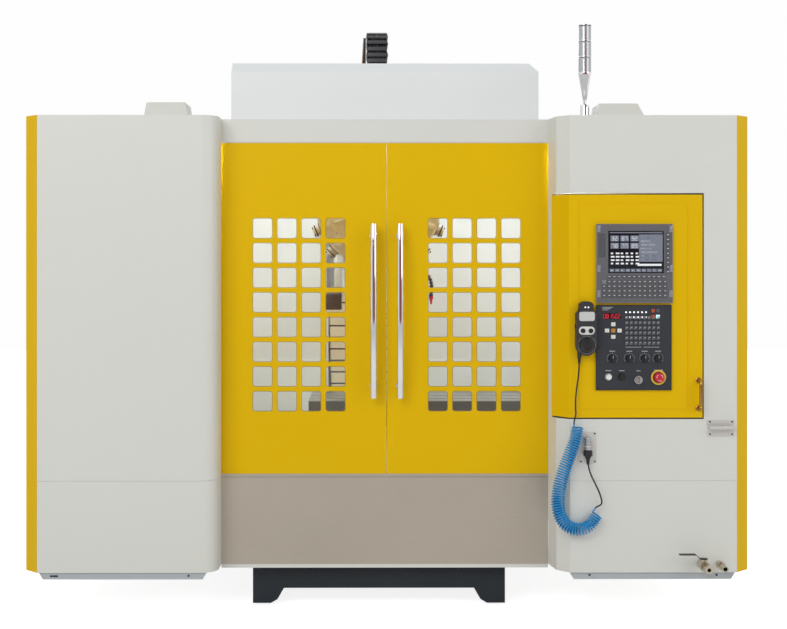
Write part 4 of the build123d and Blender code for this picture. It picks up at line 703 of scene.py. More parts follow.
CAP_PRINT = (DISPLAY_FRONT - 3.1, DISPLAY_FRONT - 2.8)
marks = Shape()
for x, z in keyboard + row_keys:
    marks.block(around(x, 3.4), CAP_PRINT, (z - 0.2, z + 2.6))
for x, z in side_keys:
    marks.block(around(x, 3.5), CAP_PRINT, around(z, 1.5))
marks.piece("key_marks", "console", "button_white", print_white)

glass = Shape()
glass.block((SCREEN_X[0] + 0.3, SCREEN_X[1] - 0.3), (-14.6, -13.8),
            (SCREEN_Z[0] + 0.3, SCREEN_Z[1] - 0.3), 0.3)
glass.piece("screen_glass", "console", "bezel_gray", screen_black)

lines = Shape()
dim = Shape()
screen_face = (-14.8, -14.55)


def screen_bar(shape, x, z, width, height):
    """Flat mark on the screen, placed from its lower left corner."""
    left = SCREEN_X[0] + x
    low = SCREEN_Z[0] + z
    shape.block((left, left + width), screen_face, (low, low + height))


for row in range(2):
    for column in range(3):
        left = 12 + column * 38
        low = 98 + row * 28
        screen_bar(dim, left - 3, low - 4, 32, 22)
        for index in range(2):
            digit = DIGITS[random.randrange(10)]
            corner = (SCREEN_X[0] + left + 2 + 12 * index, SCREEN_Z[0] + low - 1)
            lit_digit(lines, corner[0], corner[1], 9, 15, screen_face[0], digit)
for row in range(4):
    for column in range(6):
        screen_bar(lines, 10 + column * 19, 34 + row * 13, random.choice((9, 12, 14)), 6)
for row in range(7):
    screen_bar(lines, 122, 50 + row * 14, random.uniform(30, 78), 5)
screen_bar(dim, 118, 44, 90, 104)
screen_bar(lines, 112, 28, 92, 8)
for column in range(10):
    screen_bar(dim, 6 + column * 20.3, 5, 17, 12)
    screen_bar(lines, 9 + column * 20.3, 9, random.choice((6, 9, 11)), 4)
screen_bar(dim, 6, 153, 200, 4)
lines.piece("screen_marks", "console", "bezel_gray", screen_light)
dim.piece("screen_fields", "console", "bezel_gray", screen_dim)

cover = Shape()
cover.block((808.5, 830.5), (-15.2, -13.2), (1392, 1477), 1)
for index in range(9):
    z = 1400 + index * 8.2
    cover.block((811, 828), (-15.9, -15), (z, z + 3), 0.4)
cover.piece("port_cover", "console", "bezel_gray", key_dark)
clips = Shape()
for x in (801, 1076):
    for z in (1238, 1334, 1486):
        clips.block((x, x + 12.5), (DISPLAY_FRONT - 1.6, DISPLAY_FRONT), (z, z + 26), 0.7)
        screw = (x + 6.2, DISPLAY_FRONT - 1, z + 13)
        clips.turned([(3, 0), (3, 1.6), (2, 2.2), (0, 2.2)], screw, "front", 14)
clips.piece("display_clips", "console", "chrome", surface("clip_metal", (150, 156, 172), 0.35, 0.6, 30))

edge = Shape()
for low, high in ((1215.4, 1217.2), (1515.8, 1517.4)):
    edge.block((798.8, 1090.2), (-16.6, -4.2), (low, high), 0.4)
for low, high in ((798.8, 800.6), (1088.4, 1090.2)):
    edge.block((low, high), (-16.6, -4.2), (1216, 1517), 0.4)
edge.piece("display_edge", "console", "bezel_gray", key_gray)

# Operator panel: keys over the plain ones, lights, digits and dial scales

dark_keys = grid(915, 17.2, 8, 1062, 19.5, 6)
key_caps("panel_keys", dark_keys, (12.6, 12.6), PANEL_FRONT, key_dark, "panel_gray")
jog = [(863 + 24 * across, 1110 + 24 * up) for across, up in ((-1, 0), (1, 0), (0, 1), (0, -1))]
key_caps("jog_keys", jog, (16.6, 14.6), PANEL_FRONT, key_white, "button_white")
key_caps("jog_center_key", [(863, 1110)], (16.6, 14.6), PANEL_FRONT, key_orange, "panel_gray")
key_caps("status_lights", grid(912, 15.3, 6, 1161, 19, 2), (6.4, 6.4), PANEL_FRONT, lamp_glow, "button_white")
key_caps("amber_lights", [(1016, 1163), (1016, 1186)], (13.6, 13.6), PANEL_FRONT, rust_glow, "estop_red")
key_caps("light_key", [(1034, 1163)], (15, 14), PANEL_FRONT, cyan_glow, "button_white")
key_caps("spare_key", [(1034, 1186)], (13.6, 13.6), PANEL_FRONT, key_dark, "panel_gray")

PRINTED = (PANEL_FRONT - 0.3, PANEL_FRONT + 0.1)
KEY_PRINT = (PANEL_FRONT - 3.1, PANEL_FRONT - 2.8)
DIAL_Z = 1003.5
DIALS_X = {"mode": 859.6, "feed": 924.7, "rapid": 983.7, "spindle": 1034.6}
STOP_X = 1036
STOP_Z = 931
marks = Shape()
for x, z in dark_keys:
    marks.block(around(x, 3), KEY_PRINT, (z + 1.2, z + 2.8))
    marks.block((x - 4.6, x - 2.4), KEY_PRINT, (z - 4.4, z - 2.6))
for x, z in jog:
    marks.block(around(x, 1.6), KEY_PRINT, around(z, 3))
for x in DIALS_X.values():
    for step in range(13):
        angle = math.radians(-30 + step * 20)
        marks.spoke((x, DIAL_Z), 19.5, angle, (0.5, 2.6 if step % 3 == 0 else 1.6), PRINTED)
    marks.block(around(x, 11), PRINTED, (1030, 1032))
for x, width in ((844.6, 22), (896, 20), (959.6, 16), (1036, 34)):
    marks.block(around(x, width / 2), PRINTED, (952 + width / 6, 954 + width / 6))
for row in range(3):
    marks.block((822, 846 + row * 8), PRINTED, (1188 + row * 5, 1189.4 + row * 5))
for left in (915, 985):
    marks.block((left - 5, left + 55), PRINTED, (1046, 1047.2))
marks.piece("panel_marks", "console", "button_white", print_white)

digits = Shape()
for index, digit in enumerate((0, 8, 1, 5, 0, 2)):
    lit_digit(digits, 826.5 + index * 11, 1156, 8, 17, -10.3, DIGITS[digit])
digits.piece("panel_digits", "console", "estop_red", red_glow)
window = Shape()
window.block((824.3, 892.7), (-10.5, -9.8), (1153.3, 1175.7), 0.2)
window.piece("digit_window", "console", "bezel_gray", screen_black)

frame_edge = Shape()
for low, high in ((882, 885), (1205, 1208)):
    frame_edge.block((797.5, 1086.5), (-13, -11.5), (low, high), 0.5)
for low, high in ((797.5, 800.5), (1083.5, 1086.5)):
    frame_edge.block((low, high), (-13, -11.5), (882, 1208), 0.5)
screws = [(805, 890), (1079, 890), (805, 1200), (1079, 1200), (805, 1045), (1079, 1045)]
bolt_heads(frame_edge, screws, PANEL_FRONT, 2.6, 1.4)
frame_edge.piece("panel_edge", "console", "panel_gray", surface("edge_dark", (40, 42, 47), 0.4, 0.1, 30))

# Rings around the stop button, the two buttons and the key, with their profiles
for name, x, z, slot, profile, steps, material in (
    ("stop_ring", STOP_X, STOP_Z, "yellow_paint",
     [(21, 0), (28.6, 0), (28.8, 2.4), (27.4, 3.7), (22.4, 3.7), (21, 2.6)], 48, yellow_ring),
    ("start_ring", 844.6, 933, "chrome",
     [(10.6, 0), (14.3, 0), (14.3, 2), (13.2, 3.6), (11.2, 3.6), (10.6, 2.8)], 32, None),
    ("hold_ring", 896, 933, "knob_black",
     [(10.6, 0), (14.3, 0), (14.3, 2), (13.2, 3.6), (11.2, 3.6), (10.6, 2.8)], 32, None),
    ("key_ring", 959.6, 921, "chrome",
     [(12.6, 0), (16.3, 0), (16.3, 2), (15, 3.6), (13.2, 3.6), (12.6, 2.8)], 32, None),
):
    ring = Shape().turned(profile + profile[:1], (x, PANEL_FRONT + 0.2, z), "front", steps)
    ring.piece(name, "console", slot, material)


def ribbed_knob(name, x, body, node):
    """Fluted knob with a grip bar and a pointer line, in place of the plain one."""
    face = PANEL_FRONT - 0.4
    knob = Shape()
    profile = [(13.9, 0), (14, 1), (13.6, 2.2), (12.6, 11), (11.6, 12.2), (9.5, 12.6)]
    knob.fluted(profile, (x, DIAL_Z), face, 96, 24, -0.35, (1.5, 12))
    knob.block(around(x, 3.5), (face - 18, face - 11), around(DIAL_Z, 12.5), 1.6, 3)
    knob.piece(name, body, "knob_black", replaces=(node,))
    pointer = Shape()
    pointer.block(around(x, 0.7), (face - 18.3, face - 17.9), (DIAL_Z + 1, DIAL_Z + 11.5))
    pointer.piece(name + "_pointer", body, "button_white", print_white)


for name, x in DIALS_X.items():
    ribbed_knob(f"{name}_dial_knob", x, f"{name}_dial", f"{name}_knob")

mushroom = Shape()
profile = [(0, -20), (8, -20), (10, -18), (10, 2), (12, 3.5), (19, 4.5), (20, 6.5), (19.6, 10), (17, 14.5),
           (12, 17), (6, 18), (0, 18.2)]
mushroom.turned(profile, (STOP_X, -18.5, STOP_Z), "front", 48)
mushroom.piece("stop_mushroom", "estop", "estop_red", replaces=("estop_button",))
arrows = Shape()
for turn_step in range(3):
    for step in range(5):
        angle = math.radians(turn_step * 120 + step * 13)
        arrows.spoke((STOP_X, STOP_Z), 11.5, angle, (1.4, 0.9 if step < 4 else 2), (-36.4, -35.2))
arrows.piece("stop_arrows", "estop", "button_white", print_white)


# Hand pendant

PENDANT_X = 756
WHEEL_Z = 1057
SELECTOR_Z = 1111
PENDANT_BACK = -6
PENDANT_FACE = -48
PENDANT_HALF = 39
outline = []
for x, z, radius, first, last in ((23, 1170, 16, 0, 90), (7, 1200, 22, 30, 90), (-7, 1200, 22, 90, 150),
                                  (-23, 1170, 16, 90, 180)):
    for step in range(7):
        outline.append(polar((PENDANT_X + x, z), radius, math.radians(first + (last - first) * step / 6)))
outline += [(PENDANT_X - PENDANT_HALF + inset, z) for inset, z in ((2, 1140), (3, 1128), (1, 1112))]
for step in range(13):
    angle = math.radians(180 + step * 15)
    outline.append((PENDANT_X + PENDANT_HALF * math.cos(angle),
                    WHEEL_Z - 2 + (PENDANT_HALF + 1) * math.sin(angle)))
outline += [(PENDANT_X + PENDANT_HALF - inset, z) for inset, z in ((1, 1112), (3, 1128), (2, 1140))]
shell = Shape()
shell.prism(outline, "front", PENDANT_BACK, PENDANT_FACE, 5, 3)
shell.turned([(0, 0), (8, 0), (8, 26), (0, 26)], (*PENDANT_CORD, 1009), "z", 20)
shell.block((738, 774), (PENDANT_BACK - 1, PENDANT_BACK + 4), (1120, 1200), 1)
shell.piece("pendant_shell", "console", "pendant_black", replaces=("pendant_body",))
grips = Shape()
for side in (-1, 1):
    for index in range(9):
        z = 1044 + index * 7
        x = PENDANT_X + side * (PENDANT_HALF - 1.2)
        grips.block((x - 1.4, x + 1.6), (-40, -14), (z, z + 3), 0.5)
grips.piece("pendant_grips", "console", "pendant_black", key_dark)
label = Shape()
label.prism(box_outline(727, 786, 1148, 1183, 8), "front", PENDANT_FACE + 0.5, PENDANT_FACE - 0.9, 0.3, 1)
label_gray = surface("label_gray", (205, 206, 204), 0.4, 0.0, 30, 0.02)
label.piece("pendant_label", "console", "button_white", label_gray)
plate = Shape()
plate.prism(box_outline(726, 786, 1096, 1127, 14), "front", PENDANT_FACE + 0.5, PENDANT_FACE - 0.7, 0.3, 1)
plate.piece("selector_plate", "console", "button_white", key_white)
lamps = Shape()
for x in (750, 762):
    lamps.turned([(3.2, 0), (3.2, 1.4), (2.2, 2.6), (0, 3)], (x, PENDANT_FACE + 0.3, 1200), "front", 16)
lamps.piece("pendant_lamps", "console", "button_white", lamp_glow)
ticks = Shape()
for step, angle in enumerate(circle(50)):
    length = 2.4 if step % 5 == 0 else 1.3
    ticks.spoke((PENDANT_X, WHEEL_Z), 33.4, angle, (0.35, length), (PENDANT_FACE - 0.7, PENDANT_FACE + 0.2))
for x in (741, 771):
    for step in range(5):
        dot = polar((x, SELECTOR_Z), 11.6, math.radians(30 + step * 30))
        ticks.block(around(dot[0], 0.6), (PENDANT_FACE - 1.0, PENDANT_FACE - 0.5), around(dot[1], 0.6))
ticks.piece("pendant_ticks", "console", "button_white", print_white)

wheel = Shape()
profile = [(27, 0.2), (28.8, 1), (29, 3), (28.6, 9), (27, 11.4), (24, 12), (22, 11), (9, 11), (8, 12),
           (6, 12.4)]
wheel.fluted(profile, (PENDANT_X, WHEEL_Z), PENDANT_FACE, 120, 30, 0.5, (2, 10))
profile = [(0, 0), (3, 0), (3, 4), (5.2, 5), (5.6, 12), (4.6, 14), (0, 14.4)]
wheel.turned(profile, (PENDANT_X, PENDANT_FACE - 10.5, 1076), "front", 24)
wheel.piece("pulse_wheel", "wheel", "knob_black", replaces=("handwheel",))
for name, x in (("axis", 741), ("step", 771)):
    knob = Shape()
    knob.turned([(9, 0.4), (9, 5), (8, 7.4), (6.5, 8)], (x, PENDANT_FACE, SELECTOR_Z), "front", 32)
    knob.block(around(x, 2), (PENDANT_FACE - 13, PENDANT_FACE - 6), (1103.4, 1118.6), 1, 2)
    knob.piece(f"{name}_knob", f"{name}_dial", "knob_black", replaces=(f"{name}_selector",))


# Cable chain: links along two legs and a bend

CHAIN_X = (-81.5, 21.5)
CHAIN_DEPTH = 1200
CHAIN_FRONT_Z = 1900
CHAIN_REAR_Z = 2241
CHAIN_ARM = 75
CHAIN_BEND_Z = 2380
LINK_PITCH = 27


def chain_point(run):
    """Depth, height and lean of the chain's middle line at a run from its front end."""
    leg = CHAIN_BEND_Z - CHAIN_FRONT_Z
    arc = math.pi * CHAIN_ARM
    if run <= leg:
        return CHAIN_DEPTH - CHAIN_ARM, CHAIN_FRONT_Z + run, 0.0
    if run <= leg + arc:
        angle = (run - leg) / CHAIN_ARM
        return *polar((CHAIN_DEPTH, CHAIN_BEND_Z), CHAIN_ARM, math.pi - angle), angle
    return CHAIN_DEPTH + CHAIN_ARM, CHAIN_BEND_Z - (run - leg - arc), math.pi


chain = Shape()
total_run = 2 * CHAIN_BEND_Z - CHAIN_FRONT_Z - CHAIN_REAR_Z + math.pi * CHAIN_ARM
link_count = int(total_run // LINK_PITCH)
for index in range(link_count):
    run = (index + 0.5) * total_run / link_count
    depth, z, lean = chain_point(run)
    turn = Matrix.Rotation(-lean, 4, "X")
    narrow = index % 2
    for side in (0, 1):
        x = CHAIN_X[side] + (1.5 + 4 * narrow) * (1 if side == 0 else -1)
        width = 4 if side == 0 else -4
        chain.block(sorted((x, x + width)), around(depth, 17), around(z, 15), 2.4, 2, turn)
        thick = 1.2
        profile = [(0, 0), (5.5, 0), (7.5, 0.6), (7.5, 1.4)]
        if side:
            profile = [(7.5, 0), (7.5, thick + 0.6), (5.5, thick + 1.2), (0, thick + 1.2)]
        chain.turned(profile, (min(x - width * 0.3, x), depth, z), "x", 16)
    for offset in (-16.5, 16.5):
        shift = turn @ Vector((0, offset, 0))
        middle = (depth + shift.y, z + shift.z)
        bar = (CHAIN_X[0] + 5, CHAIN_X[1] - 5)
        chain.block(bar, around(middle[0], 1.9), around(middle[1], 9), 1.2, 2, turn)
for side, zs in ((-1, (CHAIN_FRONT_Z, 1912)), (1, (CHAIN_REAR_Z, 2254))):
    depths = around(CHAIN_DEPTH + side * CHAIN_ARM, 18)
    chain.block((CHAIN_X[0] + 2, CHAIN_X[1] - 2), depths, zs, 2)
chain = chain.piece("cable_chain", None, "chain_plastic", replaces=("z_cable_chain",))
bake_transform(chain)
cables = Shape()
for x, radius in ((-62, 8), (-44, 6.5), (-29, 9), (-12, 6.5), (4, 8)):
    points = []
    for step in range(81):
        depth, z, _ = chain_point(6 + (total_run - 12) * step / 80)
        points.append(at(x, depth, z))
    cables.tube(points, radius, 8)
cables = cables.piece("chain_cables", None, "cord_black", paints["cord_black"])
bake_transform(cables)


# Telescopic way covers: overlapping steel sheets with wiper lips, each dark lip as wide as the lip and its
# shadow together, partly painted shade

cover_steel = surface("cover_steel", (222, 208, 176), 0.36, 0.15, 4.0, 0.05, 220, 0.00003, (0.2, 5, 5))
# Dark rubber of the wiper lips, which also stands in for the shadow along them as painted shade
wiper_and_shade = surface("wiper_rubber_and_shade", (48, 46, 44), 0.6, 0.0, 20, 0.08, 900, 0.0001)


def telescope(name, axis, start, end, across, rise, count, node=None):
    """Stepped sheets from start to end; each next one is a little larger and overlaps the last."""
    sheets = Shape()
    lips_and_shade = Shape()
    step = (end - start) / count
    for index in range(count):
        low = start + step * index
        span = tuple(sorted((low, low + step * 0.995)))
        grow = 1.4 * (count - 1 - index)
        side = (across[0] + grow, across[1] - grow)
        walls = (side[0], side[0] + 2.5), (side[1] - 2.5, side[1])
        # Dark lip strip 7 mm wide: the rubber wiper lip with its shadow painted into it
        lip = (span[0], span[0] + 7) if step < 0 else (span[1] - 7, span[1])
        rim = (side[0] - 0.6, side[1] + 0.6)
        if axis == "z":
            front = rise[0] + grow
            sheets.block(side, (front, front + 2.5), span, 0.6, 1)
            for wall in walls:
                sheets.block(wall, (front, rise[1]), span, 0.6, 1)
            lips_and_shade.block(rim, (front - 0.7, front + 1), lip, 0.3, 1)
            continue
        top = rise[1] - grow
        for solid, along, sideways, zs, bevel in (
            (sheets, span, side, (top - 2.5, top), 0.6),
            (sheets, span, walls[0], (rise[0], top), 0.6),
            (sheets, span, walls[1], (rise[0], top), 0.6),
            (lips_and_shade, lip, rim, (top - 1, top + 0.7), 0.3),
        ):
            solid.block(*((along, sideways) if axis == "x" else (sideways, along)), zs, bevel, 1)
        if axis == "x":
            lips_and_shade.block(lip, (side[0] - 0.7, side[0] + 1), (rise[0], top), 0.3, 1)
    for suffix, shape, material in (("sheets", sheets, cover_steel), ("lips_and_shade", lips_and_shade, wiper_and_shade)):
        piece = shape.piece(f"{name}_{suffix}", None, "stainless", material)
        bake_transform(piece)
        if node and shape is sheets:
            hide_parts(node)


X_COVER_ACROSS = (503, 913)
X_COVER_RISE = (630.5, 676)
Y_COVER_ACROSS = (-330, 270)
Y_COVER_RISE = (400.5, 503)
telescope("left_table_cover", "x", -971.5, 14, X_COVER_ACROSS, X_COVER_RISE, 5, "x_way_covers")
telescope("right_table_cover", "x", 911.5, 536, X_COVER_ACROSS, X_COVER_RISE, 4)
telescope("front_bed_cover", "y", 205, 477.5, Y_COVER_ACROSS, Y_COVER_RISE, 3, "y_way_covers")
telescope("rear_bed_cover", "y", 1239.5, 938.5, Y_COVER_ACROSS, Y_COVER_RISE, 3)
telescope("column_cover", "z", 520.5, 1239.5, (-261, 201), (1180, 1218), 13, "z_way_cover")


# Signal tower: round foot, neck, taper and three ringed lamp sections

TOWER = (815, 330)
NECK_TOP = 2037
LAMP_LOW = 2147
LAMP_SECTION = 63
foot = Shape()
profile = [(0, 0), (34, 0), (34, 7), (32, 9), (30, 9), (29, 11), (29, 19), (26, 22), (18, 22), (18, 78),
           (16, 83), (11, 85), (0, 85)]
foot.turned(profile, (*TOWER, 1935), "z", 48)
for angle in circle(4, 0.5):
    foot.turned([(0, 0), (3.6, 0), (3.6, 2.2), (2.8, 3), (0, 3)], (*polar(TOWER, 23.5, angle), 1956), "z", 12)
foot.piece("tower_foot", "frame", "tower_silver", paints["chrome"], ("signal_tower",))
neck = Shape()
neck.turned([(0, 0), (7, 0), (7, 26), (0, 26)], (*TOWER, 2016), "z", 32)
for ridge in range(4):
    low = 2021 + 4 * ridge
    neck.turned([(6.5, 0), (8, 0.5), (8, 2), (6.5, 2.5), (6.5, 0)], (*TOWER, low), "z", 32)
neck.piece("tower_neck", "frame", "chrome")
shaped = Shape()
profile = [(0, 0), (7, 0), (9, 4), (17, 52), (24.5, 96), (26.6, 104), (26.8, 110), (0, 110)]
shaped.turned(profile, (*TOWER, NECK_TOP), "z", 48)
shaped.piece("tower_taper", "frame", "chrome")
lens = surface("lamp_lens", (176, 179, 182), 0.2, 0.55, 10.0, 0.03, 500, 0.00002, coat=0.4)
lamps = Shape()
for index in range(3):
    ribs = [(26.3 - 0.6 * (step % 2), 2 + step * 4.1) for step in range(15)]
    low = LAMP_LOW + index * (LAMP_SECTION + 2)
    lamps.turned([(0, 0), (24, 0)] + ribs + [(24, LAMP_SECTION), (0, LAMP_SECTION)], (*TOWER, low), "z", 48)
lamps.piece("tower_lamps", "frame", "tower_silver", lens)
rings = Shape()
for index in range(4):
    low = LAMP_LOW - 1 + index * (LAMP_SECTION + 2)
    profile = [(24, 0), (26.6, 0), (27, 0.5), (27, 2.5), (26.6, 3), (24, 3), (24, 0)]
    rings.turned(profile, (*TOWER, low), "z", 48)
rings.turned([(0, 0), (26, 0), (25.5, 1), (21, 2.4), (12, 3), (0, 3)], (*TOWER, LAMP_LOW + 194), "z", 48)
rings.piece("tower_rings", "frame", "chrome")


# Door handles with end caps, and rubber frames around the windows

for side, name in ((-1, "left"), (1, "right")):
    leaf = f"{name}_door_leaf"
    fittings = Shape()
    profile = [(9.3, 0), (16, 0), (16, 3), (14, 5), (10, 6), (9.3, 8), (9.3, 0)]
    for z in (886, 1475):
        fittings.turned(profile, (side * 52, 145, z), "front", 32)
    fittings.piece(f"{name}_handle_roses", leaf, "chrome")
    seals = Shape()
    for column in range(4):
        for row in range(8):
            center_x = side * (162 + 40 + column * 96)
            center_z = 782 + 41 + row * 97.5
            outer = box_outline(center_x - 39.7, center_x + 39.7, center_z - 40.7, center_z + 40.7, 12, 4)
            inner = box_outline(center_x - 37.2, center_x + 37.2, center_z - 38.2, center_z + 38.2, 9.6, 4)
            rings = []
            for ring_outline, depth in ((outer, 146.2), (inner, 146.6), (inner, 147.9), (outer, 147.9)):
                rings.append([seals.mesh.verts.new(at(u, depth, v)) for u, v in ring_outline])
            for low, high in zip(rings, rings[1:] + rings[:1]):
                for step in range(len(low)):
                    after = (step + 1) % len(low)
                    seals.mesh.faces.new((low[step], low[after], high[after], high[step]))
    rubber = surface(f"{name}_seal", (176, 142, 30), 0.55, 0, 20, 0.05)
    seals.piece(f"{name}_window_seals", leaf, "yellow_paint", rubber)
    rollers = Shape()
    for x in (side * 90, side * 570):
        rollers.block(around(x, 34), (150, 171), (1830, 1841), 2)
    rollers.piece(f"{name}_door_hangers", leaf, "steel")


# Joints, slots and screws drawn in space on painted sheets

PLACES = {"x": (0, 0.0), "depth": (1, FRONT_Y), "z": (2, 0.0)}
DARK_GAP = linear(38, 38, 38)
SCREW_TONE = linear(128, 128, 126)


def zone(xs, depths, zs):
    """Box of space that marks are drawn in."""
    return {"x": xs, "depth": depths, "z": zs}


def inside(graph, parts, spans, inset=0.0):
    """One inside a box of space. Spans under 20 mm keep their size."""
    tests = []
    for axis, (low, high) in spans.items():
        index, origin = PLACES[axis]
        half = (high - low) / 2
        middle = origin + (low + high) / 2 * MM
        reach = (half - (inset if half > 10 else 0)) * MM
        tests.append(graph.math("COMPARE", parts[index], middle, reach))
    return graph.fold("MULTIPLY", tests)


def near_step(graph, parts, axis, start, pitch):
    """Distance along an axis to the nearest of many equal steps."""
    index, origin = PLACES[axis]
    return graph.math("PINGPONG", graph.math("SUBTRACT", parts[index], origin + start * MM), pitch / 2 * MM)


def marked(paint, name, joints=(), lines=(), slots=(), screws=()):
    """A copy of a paint with door joints, seams, rows of slots and rows of screws."""
    graph = Graph(name, paint.copy())
    split = graph.node("SeparateXYZ")
    graph.join(split, [graph.place])
    parts = split.outputs
    dark = [inside(graph, parts, spans) for spans in lines]
    for spans in joints:
        dark.append(graph.math("SUBTRACT", inside(graph, parts, spans), inside(graph, parts, spans, 2.2)))
    for spans, axis, pitch in slots:
        row = graph.math("LESS_THAN", near_step(graph, parts, axis, spans[axis][0], pitch), pitch * 0.17 * MM)
        dark.append(graph.math("MULTIPLY", inside(graph, parts, spans), row))
    heads = []
    for spans, axes, pitches in screws:
        nears = [near_step(graph, parts, axis, spans[axis][0] + 12, pitch)
                 for axis, pitch in zip(axes, pitches)]
        squares = graph.math("ADD", *[graph.math("MULTIPLY", near, near) for near in nears])
        disc = graph.math("LESS_THAN", squares, (4.5 * MM) ** 2)
        heads.append(graph.math("MULTIPLY", inside(graph, parts, spans), disc))
    base, normal = (graph.shader.inputs[key].links[0].from_socket for key in ("Base Color", "Normal"))
    relief = []
    for masks, tone in ((heads, SCREW_TONE), (dark, DARK_GAP)):
        if masks:
            relief.append(graph.fold("MAXIMUM", masks))
            base = graph.mix(relief[-1], base, tone)
    sunk = graph.math("SUBTRACT", 1.0, graph.fold("MAXIMUM", relief))
    graph.shade(Base_Color=base, Normal=graph.bump(sunk, 0.0015, 0.7, Normal=normal))
    return graph.material


def repaint(node, **marks):
    """Marks on one node of the frame."""
    nodes[node].material_slots[0].material = marked(paints[slot_of[node]], f"{node}_sheet", **marks)


side_joints = []
side_lines = []
side_slots = []
side_screws = []
for side in ((1385, 1400), (-1400, -1385)):
    side_joints.append(zone(side, (210, 640), (640, 1700)))
    side_joints.append(zone(side, (820, 1180), (300, 620)))
    side_lines.append(zone(side, (719, 721.5), (184, 1934)))
    side_lines.append(zone(side, (60, 1258), (1780, 1782)))
    for z in (860, 1440):
        side_lines.append(zone(side, (600, 622), (z, z + 62)))
    side_slots.append((zone(side, (840, 1160), (1380, 1640)), "z", 20))
    side_slots.append((zone(side, (840, 1160), (340, 580)), "z", 20))
    for z in (194, 1744, 1798, 1908):
        side_screws.append((zone(side, (70, 1250), (z, z + 24)), ("depth", "z"), (231.2, 24)))
rear_screws = []
for span in ((-1380, -480), (430, 1380)):
    for z in (200, 1900):
        rear_screws.append((zone(span, (1250, 1270), (z, z + 24)), ("x", "z"), (219, 24)))
roof_lines = [zone((x, x + 2.5), (146, 1258), (1930, 1937)) for x in (-701, 699)]
roof_screws = []
for x in (-1385, -726, 713, 1361):
    roof_screws.append((zone((x, x + 24), (170, 1250), (1930, 1937)), ("x", "depth"), (24, 211.2)))
repaint("enclosure_panels", joints=side_joints, lines=side_lines + roof_lines, slots=side_slots,
        screws=side_screws + rear_screws + roof_screws)
# The hood's sheet keeps the lightened enamel, which carries painted light
repaint("top_hood",
        joints=[zone((-420, 360), (690, 1060), (2230, 2245))],
        lines=[zone((-665, 665), (1099, 1101.5), (1900, 2245))],
        slots=[(zone((-260, 200), (1590, 1610), (2020, 2150)), "z", 18),
               (zone((655, 670), (1180, 1480), (2020, 2150)), "z", 18),
               (zone((-670, -655), (1180, 1480), (2020, 2150)), "z", 18)],
        screws=[(zone(side, (640, 1590), (1946, 1970)), ("depth", "z"), (186, 24))
                for side in ((655, 670), (-670, -655))]
        + [(zone((-650, 650), (1590, 1610), (1946, 1970)), ("x", "z"), (212, 24))])
repaint("splash_guards",
        lines=[zone((565, 568), (1150, 1210), (520, 1932)),
               zone((-1235, -1215), (690, 692.5), (520, 1932)),
               zone((1215, 1235), (690, 692.5), (520, 1932))],
        screws=[(zone(side, (220, 1180), (z, z + 24)), ("depth", "z"), (232, 24))
                for side in ((1220, 1232), (-1232, -1220)) for z in (1150, 1190, 1880)])
repaint("apron_panel", lines=[zone((-652, 637), (140, 146), (524, 525.2))])


# Faces of the kick strips, in the white enamel darkened and blued as painted shade, and the holes along them

kick_holes = Shape()
KICK_FRONT = 7.4
kick_faces = Shape()
for low_x, high_x in ((-1336, -692), (700, 1336)):
    outline = [(low_x, 181.5), (low_x + 16, 155.2), (high_x - 16, 155.2), (high_x, 181.5)]
    kick_faces.prism(outline, "front", KICK_FRONT, 8)
# Painted shade: the kick strips' white enamel made darker and bluer, as it looks in the shade under the wings
kick_painted_shade = surface("kick_painted_shade", (180, 186, 190), 0.42, vary=0.02)
kick_faces.piece("kick_faces", "frame", "white_paint", kick_painted_shade)
for x, z in ((-1288, 168), (-762, 169), (776, 171), (1264, 171)):
    kick_holes.turned([(0, 0), (4.5, 0), (4.5, 0.5), (0, 0.5)], (x, KICK_FRONT, z), "front", 20)
kick_holes.block((-1283, -1262), (KICK_FRONT - 0.5, KICK_FRONT), (164.5, 171.5), 0.2, 1)
kick_holes.piece("kick_holes", "frame", "knob_black")


# Work lamps and the nozzles at the spindle

lamp_lens = Shape()
for side in (-1, 1):
    xs = sorted((side * 706, side * 1094))
    lamp_lens.block(xs, (190, 214), (1847.5, 1850), 0.8, 2)
    lamp_lens.block(xs, (221, 223), (1856, 1884), 0.8, 2)
lamp_lens.piece("work_lamp_lenses", "frame", "button_white", glowing("lamp_diffuser", (245, 246, 240), 1.1))

HEAD_LEFT = AXIS_X - 150
HEAD_RIGHT = AXIS_X + 150
HEAD_FRONT = 630
SPINDLE = (AXIS_X, 708)
fasteners = Shape()
spots = [(AXIS_X + x, z) for x in (-132, -44, 44, 132) for z in (1320, 1680)]
spots += [(AXIS_X + x, z) for x in (-132, 132) for z in (1440, 1560)]
bolt_heads(fasteners, spots, HEAD_FRONT, 6, 4)
for angle in circle(8, 0.5):
    fasteners.turned([(0, 0), (6, 0), (6, 5), (0, 5)], (*polar(SPINDLE, 78, angle), 1195), "z", 16)
fasteners.piece("head_fasteners", "head", "steel")
plate = Shape()
plate.block((HEAD_LEFT + 6, HEAD_RIGHT - 6), (HEAD_FRONT - 2, HEAD_FRONT), (1306, 1694), 1, 2)
plate.piece("head_cover", "head", "light_iron", paints["white_paint"])
BEAD = [(0, -8), (5, -7), (8.6, -3), (9.4, 0), (8.6, 3), (5, 7), (0, 8)]
hoses = Shape()
tips = Shape()
side_hose = [(118, 1336), (132, 1338), (146, 1338), (160, 1336), (173, 1330), (184, 1321), (193, 1310),
             (200, 1297), (204, 1283), (206, 1269), (206, 1255), (205, 1241), (204, 1227)]
for x, z in side_hose:
    hoses.turned(BEAD, (x, 694, z), "z", 20)
tips.turned([(0, 0), (4, 0), (5.5, 20), (9.5, 26), (9.5, 34), (0, 34)], (204, 694, 1188), "z", 24)
